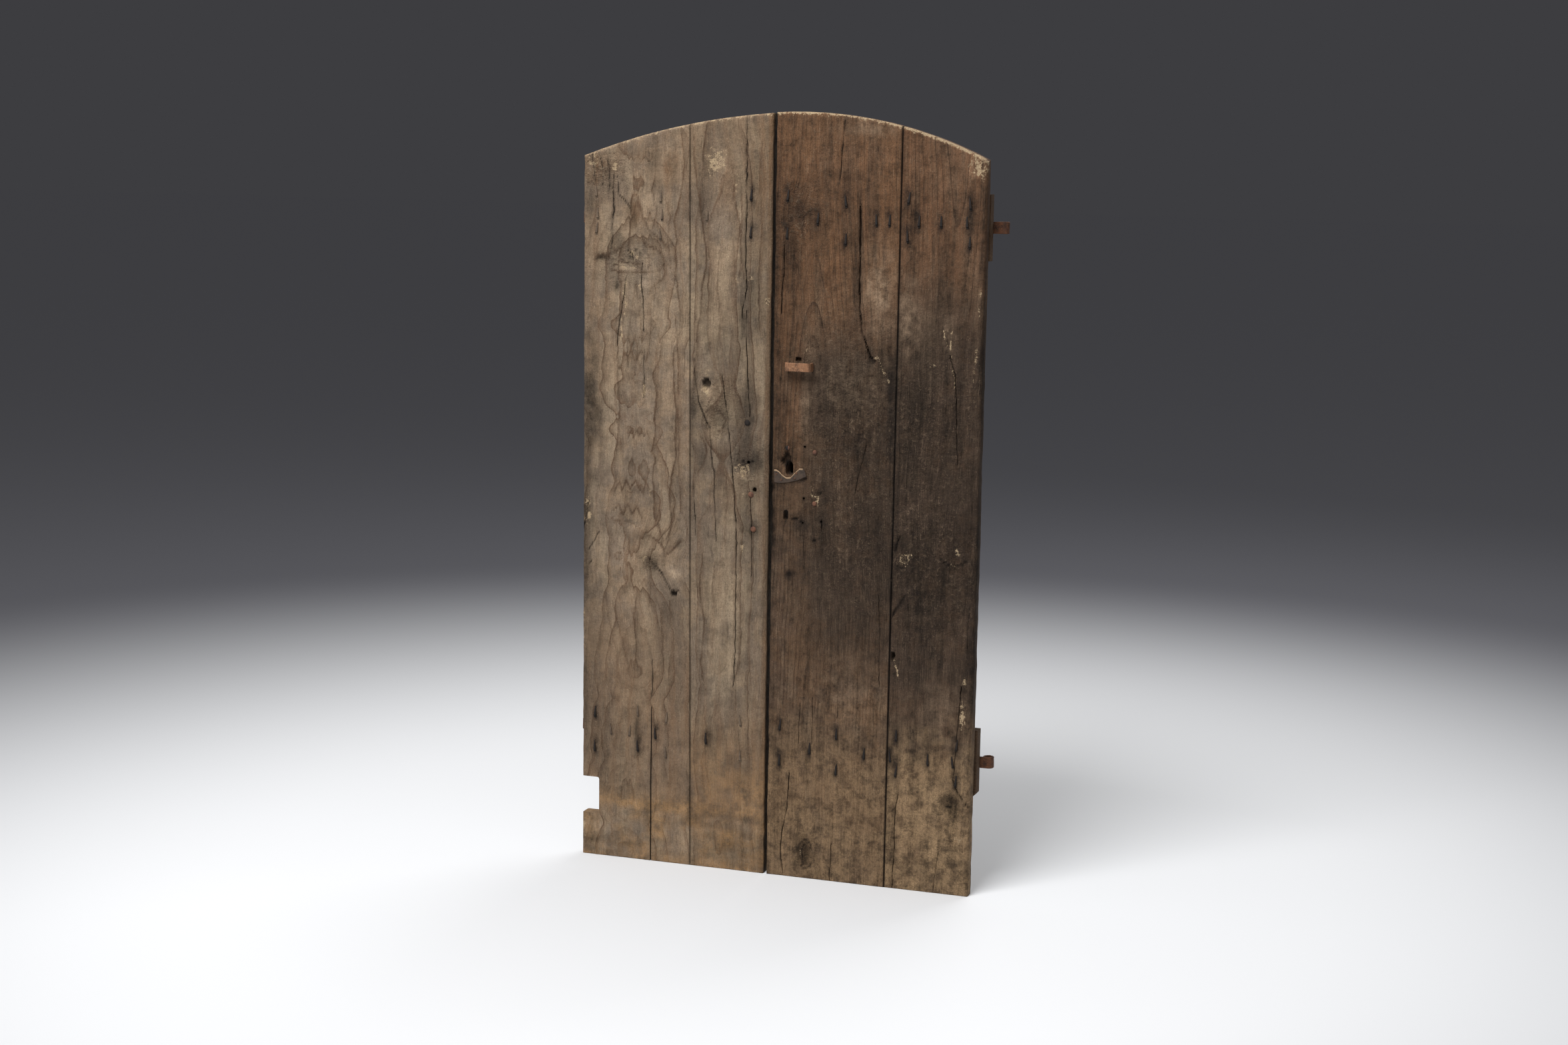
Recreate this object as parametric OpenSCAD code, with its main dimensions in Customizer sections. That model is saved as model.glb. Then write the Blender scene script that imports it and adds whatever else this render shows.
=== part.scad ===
// Pair of old arched ledged doors: two board leaves on forged strap hinges, with a pull and a rim lock.
// Millimetres, Z up, front to -Y. Places across a leaf are measured from the line where the leaves meet.

/* [Leaves] */
// Width of the left leaf, from its meeting edge to its hanging edge
left_leaf_w = 470; // [430:1:520]
// Width of the right leaf, from its meeting edge to its hanging edge
right_leaf_w = 498; // [450:1:540]
// Gap between the two leaves
meeting_gap = 8; // [7:0.5:12]
// Thickness of the boards
board_t = 38; // [30:1:46]
// Open seam between the two boards of a leaf
seam_gap = 1.5; // [0.5:0.1:4]
// Rounding of the worn upright arrises
arris_r = 8; // [3:0.5:12]
// Rounding of the worn arrises along the arch
crown_arris_r = 5; // [2:0.5:10]
// Rounding of the lower corners of each leaf
foot_corner_r = 10; // [4:1:20]

/* [Arch] */
// Height of the left leaf where the leaves meet
crown_h = 1801; // [1700:1:1900]
// Height by which the right leaf stands above the left one where they meet
right_rise = 2; // [-5:0.5:8]
// Drop of the left leaf's top from its meeting edge to its hanging edge
left_shoulder_drop = 103; // [60:1:150]
// Radius of the left leaf's top
left_arch_r = 1660; // [1000:10:2400]
// Drop of the right leaf's top from its meeting edge to its hanging edge
right_shoulder_drop = 101; // [60:1:150]
// Radius of the right leaf's top
right_arch_r = 1000; // [700:5:1600]

/* [Seams] */
// Left leaf: the seam's distance from the meeting line, at the top
left_seam_top = 209; // [170:0.5:250]
// Left leaf: the seam's distance from the meeting line, at the foot
left_seam_foot = 191.5; // [170:0.5:250]
// Right leaf: the seam's distance from the meeting line, at the top
right_seam_top = 303.5; // [270:0.5:350]
// Right leaf: the seam's distance from the meeting line, at the foot
right_seam_foot = 297.7; // [270:0.5:350]

/* [Edge notch and split] */
// Depth of the notch in the left leaf's hanging edge
notch_w = 44; // [20:1:60]
// Height of the notch
notch_h = 92; // [40:1:120]
// Height of the notch's lower side above the floor
notch_z = 104; // [60:1:130]
// Rounding of the notch's inner corners
notch_r = 5; // [1:0.5:12]
// Distance of the split in the left leaf from the meeting line
split_x = 294; // [250:1:400]
// Height to which the split runs up from the foot
split_h = 380; // [100:5:600]
// Width of the split at the foot
split_w = 2.5; // [1:0.1:5]

/* [Battens] */
// Thickness of the battens
batten_t = 33; // [24:1:44]
// Height of the upper battens
upper_batten_h = 150; // [120:1:180]
// Height of the lower battens
lower_batten_h = 166; // [130:1:190]
// Depth of the upper battens' and straps' middle below the crown
upper_batten_drop = 250; // [220:1:320]
// Height of the lower battens' and straps' middle
lower_batten_z = 307; // [290:1:420]
// Distance from a batten's end to the meeting edge of its leaf
batten_setback = 12; // [8:1:24]
// Chamfer along the back of the battens
batten_chamfer = 7; // [2:0.5:12]
// Length by which the right lower batten stands past the hanging edge
batten_proud = 4; // [0:0.5:8]
// Cut across the lower outer corner of the right lower batten
batten_corner_cut = 15; // [5:1:30]

/* [Hinge straps] */
// Thickness of the strap iron
strap_t = 4.5; // [3:0.5:7]
// Height of a strap at its eye
strap_h = 27.5; // [22:0.5:36]
// Height of a strap at its tip
strap_tip_h = 20; // [14:0.5:22]
// Diameter of the bore in an eye
eye_bore_d = 17; // [12:0.5:22]
// Distance from the hanging edge to the hinge axis
eye_overhang = 21; // [20:0.5:30]
// Length of the left straps, from the hinge axis to the tip
left_strap_len = 360; // [320:5:400]
// Length of the right straps, from the hinge axis to the tip
right_strap_len = 432; // [380:5:460]

/* [Nails] */
// Side of a square nail shank
nail_s = 5; // [3:0.25:6]
// Diameter of a nail head on the back
nail_head_d = 13; // [10:0.5:16]
// Height of a nail head on the back
nail_head_h = 3; // [1.5:0.25:5]
// Length of a clenched point on the front
clench_len = 26; // [15:1:34]
// Thickness of a clenched point at its bend
clench_t = 2.2; // [1:0.1:3]
// Height of a batten's upper nail row above the strap's middle
nail_row_up = 46; // [34:1:52]
// Depth of a batten's lower nail row below the strap's middle
nail_row_down = 40; // [34:1:52]
// Height by which neighbouring nails of a row stagger
nail_stagger = 5; // [0:0.5:8]

/* [Pull staple] */
// Distance of the pull's middle from the meeting line
pull_x = 70; // [55:1:90]
// Height of the pull's middle
pull_z = 1223; // [1150:1:1300]
// Width over the pull's two legs
pull_w = 64; // [50:1:90]
// Height of the pull's flat bar
pull_h = 20; // [12:1:26]
// Thickness of the pull's iron
pull_t = 5; // [3:0.5:8]
// Distance by which the pull stands off the board
pull_stand = 25; // [18:1:40]
// Outer rounding of the pull's two bends
pull_bend_r = 9; // [8.5:0.5:12]
// Height of the legs where they enter the board
pull_leg_h = 14; // [8:1:16]
// Depth of the legs in the board
pull_leg_in = 28; // [15:1:29]

/* [Keyhole and its plate] */
// Distance of the keyhole from the meeting line
keyhole_x = 47; // [42:1:55]
// Height of the keyhole's middle
keyhole_z = 984; // [960:1:1000]
// Width of the keyhole
keyhole_w = 19; // [12:0.5:22]
// Height of the keyhole
keyhole_h = 34; // [26:0.5:36]
// Thickness of the keyhole plate
plate_t = 1.6; // [1:0.1:3]
// Angle by which the plate's torn end is bent up
plate_lift = 12; // [0:1:25]
// Diameter of the plate's rivet heads
rivet_head_d = 7; // [4:0.5:8]
// Diameter of the plate's rivets
rivet_d = 2.6; // [1.5:0.1:4]
// Depth of the rivets in the board
rivet_in = 12; // [6:1:20]

/* [Lock] */
// Distance from the meeting edge to the lock case
lock_edge = 3; // [1:0.5:8]
// Width of the lock case
lock_w = 112; // [110:1:130]
// Height of the lock case
lock_h = 150; // [148:1:180]
// Depth of the lock case
lock_d = 28; // [25:1:36]
// Sheet thickness of the lock case
lock_wall = 2; // [1:0.25:3]
// Height of the lock case's middle
lock_z = 965; // [960:1:968]
// Height of the bolt's head
bolt_h = 18; // [12:1:20]
// Thickness of the bolt
bolt_t = 9; // [6:0.5:11]
// Height by which the bolt's body is taller than its head, on each side
bolt_shoulder = 3; // [1:0.5:4]
// Length that the bolt is thrown by the key
bolt_throw = 26; // [18:1:28]
// Depth of the bolt's middle below the keyhole's middle
bolt_drop = 29; // [27:1:34]
// Running clearance around the bolt
bolt_play = 0.3; // [0.2:0.05:0.6]
// Thickness of the bolt's leaf spring
spring_t = 1.2; // [0.8:0.1:2]
// Diameter of the lock nails' heads on the front
lock_nail_head_d = 12.5; // [9:0.5:15]

/* [Keeper] */
// Distance from the left leaf's meeting edge to the keeper
keeper_edge = 4; // [2:0.5:6]
// Width of the keeper
keeper_w = 58; // [56:1:70]
// Length of the keeper
keeper_len = 290; // [284:1:320]
// Thickness of the keeper's iron
keeper_t = 3.5; // [2:0.25:5]
// Height of the keeper's middle
keeper_z = 960; // [957:1:964]
// Room above and below the bolt in the keeper
keeper_play = 4; // [2:0.5:7]
// Diameter of the keeper nails' heads on the front
keeper_nail_head_d = 15; // [11:0.5:18]

/* [Hidden] */

$fn = 48;
arch_fn = 720;
// Overlap of a cutter past the face that it cuts
cut = 1;

near = meeting_gap / 2;
left_far = near + left_leaf_w;
right_far = near + right_leaf_w;
right_crown_h = crown_h + right_rise;
right_shoulder_h = right_crown_h - right_shoulder_drop;
upper_batten_z = crown_h - upper_batten_drop;
// Height past the top of either arch, for cutters and blanks
top_z = max(crown_h, right_crown_h) + 60;
eye_r = eye_bore_d / 2 + strap_t;
batten_back = board_t + batten_t;
strap_back = batten_back + strap_t;
eye_back = batten_back + 2 * eye_r;

// The origin lies on the floor, midway over the hinge eyes and midway over the whole depth
origin_x = (right_far - left_far) / 2;
origin_y = (eye_back - pull_stand) / 2;

// Batten nails: each column's place as a share of the leaf's width from the meeting edge
left_upper_columns = [0.11, 0.585, 0.93];
left_lower_columns = [0.13, 0.535, 0.69, 0.93];
right_columns = [0.058, 0.341, 0.635, 0.926];
// Strap nails: places as a share of the strap's length from the hinge axis
left_upper_strap_nails = [0.16, 0.61, 0.92];
left_lower_strap_nails = [0.27, 0.40, 0.59, 0.95];
right_upper_strap_nails = [0.15, 0.29, 0.41, 0.57, 0.64, 0.965];
right_lower_strap_nails = [0.15, 0.29, 0.50, 0.65, 0.96];

// Keeper nails that are left: distance from the keeper's edge and height from its middle
keeper_nails_at = [[32, -125], [39, -43], [50, 126]];
keeper_lost_nail_at = [46, 33];
// Lock nails: distance from the case's near edge and height from the case's middle
lock_nails_at = [[35, 67], [102, 60], [103, -60]];

// Torn outline of the keyhole plate and its rivets, measured from the keyhole's middle
plate_outline = [
    [-37, -4], [-31, -4], [-24, -8], [-17, -15], [-7, -21], [4, -20], [14, -9], [26, 2], [37, 2],
    [42, -8], [44, -16], [20, -27], [-3, -33], [-22, -35.5], [-36, -34.5]
];
plate_crease = 23;
plate_reach = 60;
rivets_at = [[-31, -14], [-19, -27], [14, -22], [18, -10]];
rivet_head_h = 1;
rivet_top_share = 0.7;

// Old holes in the meeting boards: distance from the meeting line, height, diameter, depth
right_old_holes = [[84, 1037, 5, 14], [83.5, 916, 5, 14], [82, 858, 4, 10], [126.5, 863, 4, 10]];
left_old_holes = [[38, 929, 10, 16]];
old_keyhole_at = [40, 874];
old_keyhole_w = 12;
old_keyhole_h = 25;
old_pull_hole_at = [65, 1240];
old_pull_hole = [14, 10, 9];
knot_hole_at = [162, 1175];
knot_hole_d = 25;
knot_hole_in = 9;

// Worn upper corner of the right leaf: where the facet starts on the front, and how it leans
worn_corner_in = 52;
worn_corner_drop = 22;
worn_corner_turn = [-13, 0, 17];
worn_corner_size = 200;

case_x = near + lock_edge;
case_far = case_x + lock_w;
case_back = board_t + lock_d;
case_low = lock_z - lock_h / 2;
bolt_z = keyhole_z - bolt_drop;
bolt_y = board_t + (lock_d - lock_wall) / 2;
bolt_body_h = bolt_h + 2 * bolt_shoulder;
bolt_shoulder_x = case_x + lock_wall + bolt_throw + bolt_play;
bolt_tail_room = 6;
bolt_tail_x = case_far - lock_wall - bolt_tail_room;
guide_l = 8;
guide_frame = 5;
guide_x = bolt_tail_x - bolt_throw - guide_l - 5;
talon_w = 14;
talon_in = 8;
talon_x = keyhole_x + bolt_throw / 2 - 1;
spring_rise = 22;
spring_foot = 8;
spring_w = 10;
rivet_end_h = 2;

keeper_x = near + keeper_edge;
keeper_low = keeper_z - keeper_len / 2;
keeper_mouth = bolt_h + 2 * keeper_play;
keeper_inside = bolt_y + bolt_t / 2 + keeper_play - board_t;

// Centre of the arc of radius r that passes over p and q, p being on the left
function arc_centre(p, q, r) =
    let (d = q - p, half = norm(d) / 2, down = [d[1], -d[0]] / norm(d))
    (p + q) / 2 + down * sqrt(r * r - half * half);

function nail_height(row, i) = row + (i % 2 == 0 ? nail_stagger : -nail_stagger);

// Places of one batten's nails, two in each column
function batten_nails_at(leaf_w, columns, z) = [
    for (i = [0 : len(columns) - 1], row = [nail_row_up, -nail_row_down])
        [near + columns[i] * leaf_w, z + nail_height(row, i)]
];

function strap_nails_at(far, strap_len, shares, z) =
    [for (share = shares) [far + eye_overhang - share * strap_len, z]];

left_batten_nail_places = concat(
    batten_nails_at(left_leaf_w, left_upper_columns, upper_batten_z),
    batten_nails_at(left_leaf_w, left_lower_columns, lower_batten_z));
right_batten_nail_places = concat(
    batten_nails_at(right_leaf_w, right_columns, upper_batten_z),
    batten_nails_at(right_leaf_w, right_columns, lower_batten_z));
left_strap_nail_places = concat(
    strap_nails_at(left_far, left_strap_len, left_upper_strap_nails, upper_batten_z),
    strap_nails_at(left_far, left_strap_len, left_lower_strap_nails, lower_batten_z));
right_strap_nail_places = concat(
    strap_nails_at(right_far, right_strap_len, right_upper_strap_nails, upper_batten_z),
    strap_nails_at(right_far, right_strap_len, right_lower_strap_nails, lower_batten_z));
left_nail_places = concat(left_batten_nail_places, left_strap_nail_places);
right_nail_places = concat(right_batten_nail_places, right_strap_nail_places);
keeper_nail_places = [for (at = keeper_nails_at) [keeper_x + at[0], keeper_z + at[1]]];
lock_nail_places = [for (at = lock_nails_at) [case_x + at[0], lock_z + at[1]]];

// The two leaves share one way of measuring; the left one is turned over the meeting line
module on_right() { translate([-origin_x, -origin_y, 0]) children(); }
module on_left() { on_right() mirror([1, 0, 0]) children(); }

// A front outline in X and Z, pushed back from the front face
module pushed_back(from_y, depth) {
    translate([0, from_y + depth, 0]) rotate([90, 0, 0]) linear_extrude(depth) children();
}

// A section in Y and Z, drawn out along X
module drawn_along(from_x, length) {
    translate([from_x, 0, 0]) rotate([90, 0, 90]) linear_extrude(length) children();
}

module upright_stadium(w, h) {
    square([w, h - w], center = true);
    for (end = [-1, 1]) translate([0, end * (h - w) / 2]) circle(d = w);
}

module rounded_section(length, r) {
    translate([r, 0]) square([length - 2 * r, board_t]);
    translate([0, r]) square([length, board_t - 2 * r]);
    for (x = [r, length - r], y = [r, board_t - r]) translate([x, y]) circle(r);
}

// Disc as thick as the boards, with worn rims: its upper rim is the arch
module arch_disc(centre, r) {
    translate([centre[0], 0, centre[1]]) rotate([-90, 0, 0]) rotate_extrude($fn = arch_fn) {
        square([r - crown_arris_r, board_t]);
        translate([0, crown_arris_r]) square([r, board_t - 2 * crown_arris_r]);
        for (y = [crown_arris_r, board_t - crown_arris_r])
            translate([r - crown_arris_r, y]) circle(crown_arris_r);
    }
}

// Whole leaf before it is parted into boards
module leaf_blank(leaf_w, shoulder_h, crown_h, arch_r) {
    far = near + leaf_w;
    centre = arc_centre([near, crown_h], [far, shoulder_h], arch_r);
    intersection() {
        translate([near, 0, 0]) linear_extrude(top_z) rounded_section(leaf_w, arris_r);
        union() {
            arch_disc(centre, arch_r);
            translate([near - cut, 0, -cut]) cube([leaf_w + 2 * cut, board_t, max(centre[1], 0) + 2 * cut]);
        }
        pushed_back(-cut, board_t + 2 * cut) foot_outline(near, far);
    }
}

module foot_outline(x_low, x_high) {
    translate([x_low - cut, foot_corner_r]) square([x_high - x_low + 2 * cut, top_z]);
    translate([x_low + foot_corner_r, 0]) square([x_high - x_low - 2 * foot_corner_r, top_z]);
    for (x = [x_low + foot_corner_r, x_high - foot_corner_r])
        translate([x, foot_corner_r]) circle(foot_corner_r);
}

// Strip between the meeting edge and the seam, or between the seam and the hanging edge
module meeting_strip(seam_foot, seam_top) {
    pushed_back(-2 * cut, board_t + 4 * cut) polygon([
        [near - cut, -cut], [seam_foot - seam_gap / 2, -cut],
        [seam_top - seam_gap / 2, top_z], [near - cut, top_z]
    ]);
}

module hanging_strip(far, seam_foot, seam_top) {
    pushed_back(-2 * cut, board_t + 4 * cut) polygon([
        [seam_foot + seam_gap / 2, -cut], [far + cut, -cut],
        [far + cut, top_z], [seam_top + seam_gap / 2, top_z]
    ]);
}

module left_blank() { leaf_blank(left_leaf_w, crown_h - left_shoulder_drop, crown_h, left_arch_r); }
module right_blank() { leaf_blank(right_leaf_w, right_shoulder_h, right_crown_h, right_arch_r); }

// Square holes for nails, from the front back to a depth
module nail_holes(places, depth) {
    for (at = places)
        translate([at[0] - nail_s / 2, -cut, at[1] - nail_s / 2])
            cube([nail_s, depth + 2 * cut, nail_s]);
}

module round_holes(places) {
    for (at = places)
        translate([at[0], -cut, at[1]]) rotate([-90, 0, 0]) cylinder(d = at[2], h = at[3] + cut);
}

// Nail driven from the back: rose head behind, point clenched up the grain on the front
module clenched_nail(grip) {
    translate([-nail_s / 2, -clench_t / 2, -nail_s / 2]) cube([nail_s, grip + clench_t / 2, nail_s]);
    translate([0, grip, 0]) rotate([-90, 0, 0])
        cylinder(d1 = nail_head_d, d2 = nail_head_d / 2, h = nail_head_h);
    drawn_along(-nail_s / 2, nail_s) polygon([
        [0, -nail_s / 2], [-clench_t, -nail_s / 2], [-clench_t, nail_s / 2],
        [-clench_t / 4, clench_len], [0, clench_len]
    ]);
}

// Nail driven from the front: round head on the board, end riveted over behind
module front_nail(grip, head_d) {
    translate([-nail_s / 2, -nail_head_h / 2, -nail_s / 2])
        cube([nail_s, grip + nail_head_h / 2 + rivet_end_h / 2, nail_s]);
    rotate([90, 0, 0]) cylinder(d1 = head_d, d2 = head_d / 2, h = nail_head_h);
    translate([0, grip, 0]) rotate([-90, 0, 0])
        cylinder(d1 = 2 * nail_s, d2 = nail_s, h = rivet_end_h);
}

module nails(places, grip) {
    for (at = places) translate([at[0], 0, at[1]]) clenched_nail(grip);
}

module batten(far, z, h, proud) {
    translate([0, board_t, z]) drawn_along(near + batten_setback, far + proud - near - batten_setback)
        polygon([
            [0, -h / 2], [batten_t - batten_chamfer, -h / 2], [batten_t, -h / 2 + batten_chamfer],
            [batten_t, h / 2 - batten_chamfer], [batten_t - batten_chamfer, h / 2], [0, h / 2]
        ]);
}

// Flat strap with its end rolled back into an eye, tapering to a round tip
module hinge_strap(far, strap_len, z) {
    axis_x = far + eye_overhang;
    tip_x = axis_x - strap_len;
    intersection() {
        translate([0, batten_back, z - strap_h]) linear_extrude(2 * strap_h) difference() {
            union() {
                translate([tip_x, 0]) square([strap_len, strap_t]);
                translate([axis_x, eye_r]) circle(eye_r);
            }
            translate([axis_x, eye_r]) circle(d = eye_bore_d);
        }
        translate([0, 0, z]) pushed_back(batten_back - cut, 2 * eye_r + 2 * cut) {
            polygon([
                [tip_x + strap_tip_h / 2, -strap_tip_h / 2], [far, -strap_h / 2],
                [axis_x + eye_r + cut, -strap_h / 2], [axis_x + eye_r + cut, strap_h / 2],
                [far, strap_h / 2], [tip_x + strap_tip_h / 2, strap_tip_h / 2]
            ]);
            translate([tip_x + strap_tip_h / 2, 0]) circle(d = strap_tip_h);
        }
    }
}

module notch_outline() {
    translate([left_far - notch_w + notch_r, notch_z]) square([notch_w, notch_h]);
    translate([left_far - notch_w, notch_z + notch_r]) square([notch_w, notch_h - 2 * notch_r]);
    for (z = [notch_z + notch_r, notch_z + notch_h - notch_r])
        translate([left_far - notch_w + notch_r, z]) circle(notch_r);
}

module left_wide_board() {
    color("#8f7a66") on_left() difference() {
        intersection() {
            left_blank();
            hanging_strip(left_far, left_seam_foot, left_seam_top);
        }
        pushed_back(-cut, board_t + 2 * cut) notch_outline();
        pushed_back(-cut, board_t + 2 * cut)
            polygon([[split_x - split_w / 2, -cut], [split_x + split_w / 2, -cut], [split_x, split_h]]);
        nail_holes(left_nail_places, board_t);
    }
}

module left_narrow_board() {
    color("#8b7460") on_left() difference() {
        intersection() {
            left_blank();
            meeting_strip(left_seam_foot, left_seam_top);
        }
        translate([knot_hole_at[0], -cut, knot_hole_at[1]]) rotate([-90, 0, 0])
            cylinder(d1 = knot_hole_d + cut, d2 = knot_hole_d / 2, h = knot_hole_in + cut);
        round_holes(left_old_holes);
        keeper_lost_nail_hole();
        nail_holes(keeper_nail_places, board_t);
        nail_holes(left_nail_places, board_t);
    }
}

module left_upper_batten() {
    color("#75604f") on_left() difference() {
        batten(left_far, upper_batten_z, upper_batten_h, 0);
        nail_holes(left_nail_places, batten_back);
    }
}

module left_lower_batten() {
    color("#75604f") on_left() difference() {
        batten(left_far, lower_batten_z, lower_batten_h, 0);
        nail_holes(left_nail_places, batten_back);
    }
}

module left_upper_hinge_strap() {
    color("#5a4032") on_left() difference() {
        hinge_strap(left_far, left_strap_len, upper_batten_z);
        nail_holes(left_strap_nail_places, strap_back);
    }
}

module left_lower_hinge_strap() {
    color("#4a382e") on_left() difference() {
        hinge_strap(left_far, left_strap_len, lower_batten_z);
        nail_holes(left_strap_nail_places, strap_back);
    }
}

module left_batten_nails() { color("#3c302a") on_left() nails(left_batten_nail_places, batten_back); }
module left_strap_nails() { color("#3c302a") on_left() nails(left_strap_nail_places, strap_back); }

module keeper_lost_nail_hole() {
    translate([keeper_x + keeper_lost_nail_at[0], -cut, keeper_z + keeper_lost_nail_at[1]])
        rotate([-90, 0, 0]) cylinder(d = nail_s + 2, h = board_t + keeper_t + 2 * cut);
}

// Flat iron bent out into a bridge, into which the bolt is thrown
module bolt_keeper() {
    mouth_low = bolt_z - keeper_mouth / 2;
    mouth_high = bolt_z + keeper_mouth / 2;
    color("#4f3d33") on_left() difference() {
        translate([0, board_t, 0]) drawn_along(keeper_x, keeper_w) polygon([
            [0, keeper_low], [keeper_t, keeper_low], [keeper_t, mouth_low - keeper_t],
            [keeper_inside + keeper_t, mouth_low - keeper_t],
            [keeper_inside + keeper_t, mouth_high + keeper_t], [keeper_t, mouth_high + keeper_t],
            [keeper_t, keeper_low + keeper_len], [0, keeper_low + keeper_len], [0, mouth_high],
            [keeper_inside, mouth_high], [keeper_inside, mouth_low], [0, mouth_low]
        ]);
        keeper_lost_nail_hole();
        nail_holes(keeper_nail_places, board_t + keeper_t);
    }
}

module keeper_nails() {
    color("#6a4433") on_left() for (at = keeper_nail_places)
        translate([at[0], 0, at[1]]) front_nail(board_t + keeper_t, keeper_nail_head_d);
}

module keyhole_opening() {
    translate([keyhole_x, 0, keyhole_z]) pushed_back(-cut, case_back + 2 * cut)
        upright_stadium(keyhole_w, keyhole_h);
}

module pull_legs() {
    for (end = [-1, 1])
        translate([pull_x + end * (pull_w - pull_t) / 2 - pull_t / 2, -cut, pull_z - pull_leg_h / 2])
            cube([pull_t, pull_leg_in + cut, pull_leg_h]);
}

module rivet_holes() {
    for (at = rivets_at)
        translate([keyhole_x + at[0], -plate_t - cut, keyhole_z + at[1]]) rotate([-90, 0, 0])
            cylinder(d = rivet_d, h = plate_t + cut + rivet_in);
}

module right_wide_board() {
    color("#6b5140") on_right() difference() {
        intersection() {
            right_blank();
            meeting_strip(right_seam_foot, right_seam_top);
        }
        keyhole_opening();
        translate([old_keyhole_at[0], 0, old_keyhole_at[1]]) pushed_back(-cut, board_t + 2 * cut)
            upright_stadium(old_keyhole_w, old_keyhole_h);
        translate([old_pull_hole_at[0] - old_pull_hole[0] / 2, -cut, old_pull_hole_at[1] - old_pull_hole[2] / 2])
            cube([old_pull_hole[0], old_pull_hole[1] + cut, old_pull_hole[2]]);
        round_holes(right_old_holes);
        pull_legs();
        rivet_holes();
        nail_holes(lock_nail_places, board_t);
        nail_holes(right_nail_places, board_t);
    }
}

module right_narrow_board() {
    color("#66503f") on_right() difference() {
        intersection() {
            right_blank();
            hanging_strip(right_far, right_seam_foot, right_seam_top);
        }
        translate([right_far - worn_corner_in, 0, right_shoulder_h + worn_corner_drop])
            rotate(worn_corner_turn)
            translate([-worn_corner_size / 2, -worn_corner_size / 2, -worn_corner_size / 2])
            cube([worn_corner_size, worn_corner_size / 2, worn_corner_size]);
        nail_holes(right_nail_places, board_t);
    }
}

module right_upper_batten() {
    color("#6a5443") on_right() difference() {
        batten(right_far, upper_batten_z, upper_batten_h, 0);
        nail_holes(right_nail_places, batten_back);
    }
}

module right_lower_batten() {
    corner_x = right_far + batten_proud;
    corner_z = lower_batten_z - lower_batten_h / 2;
    color("#6a5443") on_right() difference() {
        batten(right_far, lower_batten_z, lower_batten_h, batten_proud);
        pushed_back(board_t - cut, batten_t + 2 * cut) polygon([
            [corner_x - batten_corner_cut - cut, corner_z - cut], [corner_x + cut, corner_z - cut],
            [corner_x + cut, corner_z + batten_corner_cut + cut]
        ]);
        nail_holes(right_nail_places, batten_back);
    }
}

module right_upper_hinge_strap() {
    color("#7a4f38") on_right() difference() {
        hinge_strap(right_far, right_strap_len, upper_batten_z);
        nail_holes(right_strap_nail_places, strap_back);
    }
}

module right_lower_hinge_strap() {
    color("#4a382e") on_right() difference() {
        hinge_strap(right_far, right_strap_len, lower_batten_z);
        nail_holes(right_strap_nail_places, strap_back);
    }
}

module right_batten_nails() { color("#3c302a") on_right() nails(right_batten_nail_places, batten_back); }
module right_strap_nails() { color("#3c302a") on_right() nails(right_strap_nail_places, strap_back); }

module pull_section(w, stand, r) {
    translate([-w / 2 + r, -stand]) square([w - 2 * r, stand]);
    translate([-w / 2, -stand + r]) square([w, stand - r]);
    for (end = [-1, 1]) translate([end * (w / 2 - r), -stand + r]) circle(r);
}

// Flat iron bent into a staple, its narrower legs driven into the board
module pull_staple() {
    color("#7d5236") on_right() {
        translate([pull_x, 0, pull_z - pull_h / 2]) linear_extrude(pull_h) difference() {
            pull_section(pull_w, pull_stand, pull_bend_r);
            translate([0, cut]) pull_section(pull_w - 2 * pull_t, pull_stand - pull_t + cut, pull_bend_r - pull_t);
        }
        pull_legs();
    }
}

module plate_part(low_x, high_x) {
    intersection() {
        polygon(plate_outline);
        translate([low_x, -plate_reach]) square([high_x - low_x, 2 * plate_reach]);
    }
}

module keyhole_plate() {
    color("#6b4a38") on_right() difference() {
        translate([keyhole_x, 0, keyhole_z]) {
            pushed_back(-plate_t, plate_t) plate_part(-plate_reach, plate_crease);
            translate([plate_crease, 0, 0]) rotate([0, 0, -plate_lift]) translate([-plate_crease, 0, 0])
                pushed_back(-plate_t, plate_t) plate_part(plate_crease, plate_reach);
        }
        rivet_holes();
    }
}

module keyhole_plate_rivets() {
    color("#4f382d") on_right() for (at = rivets_at)
        translate([keyhole_x + at[0], -plate_t, keyhole_z + at[1]]) rotate([-90, 0, 0]) {
            cylinder(d = rivet_d, h = plate_t + rivet_in);
            translate([0, 0, -rivet_head_h])
                cylinder(d1 = rivet_top_share * rivet_head_d, d2 = rivet_head_d, h = rivet_head_h);
        }
}

// Sheet box, open towards the board, with the bolt's slot in its meeting side
module lock_case() {
    slot_h = bolt_h + 2 * bolt_play;
    slot_t = bolt_t + 2 * bolt_play;
    color("#55443a") on_right() difference() {
        translate([case_x, board_t, case_low]) cube([lock_w, lock_d, lock_h]);
        translate([case_x + lock_wall, board_t - cut, case_low + lock_wall])
            cube([lock_w - 2 * lock_wall, lock_d - lock_wall + cut, lock_h - 2 * lock_wall]);
        translate([case_x - cut, bolt_y - slot_t / 2, bolt_z - slot_h / 2])
            cube([lock_wall + 2 * cut, slot_t, slot_h]);
        keyhole_opening();
        nail_holes(lock_nail_places, case_back);
    }
}

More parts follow.
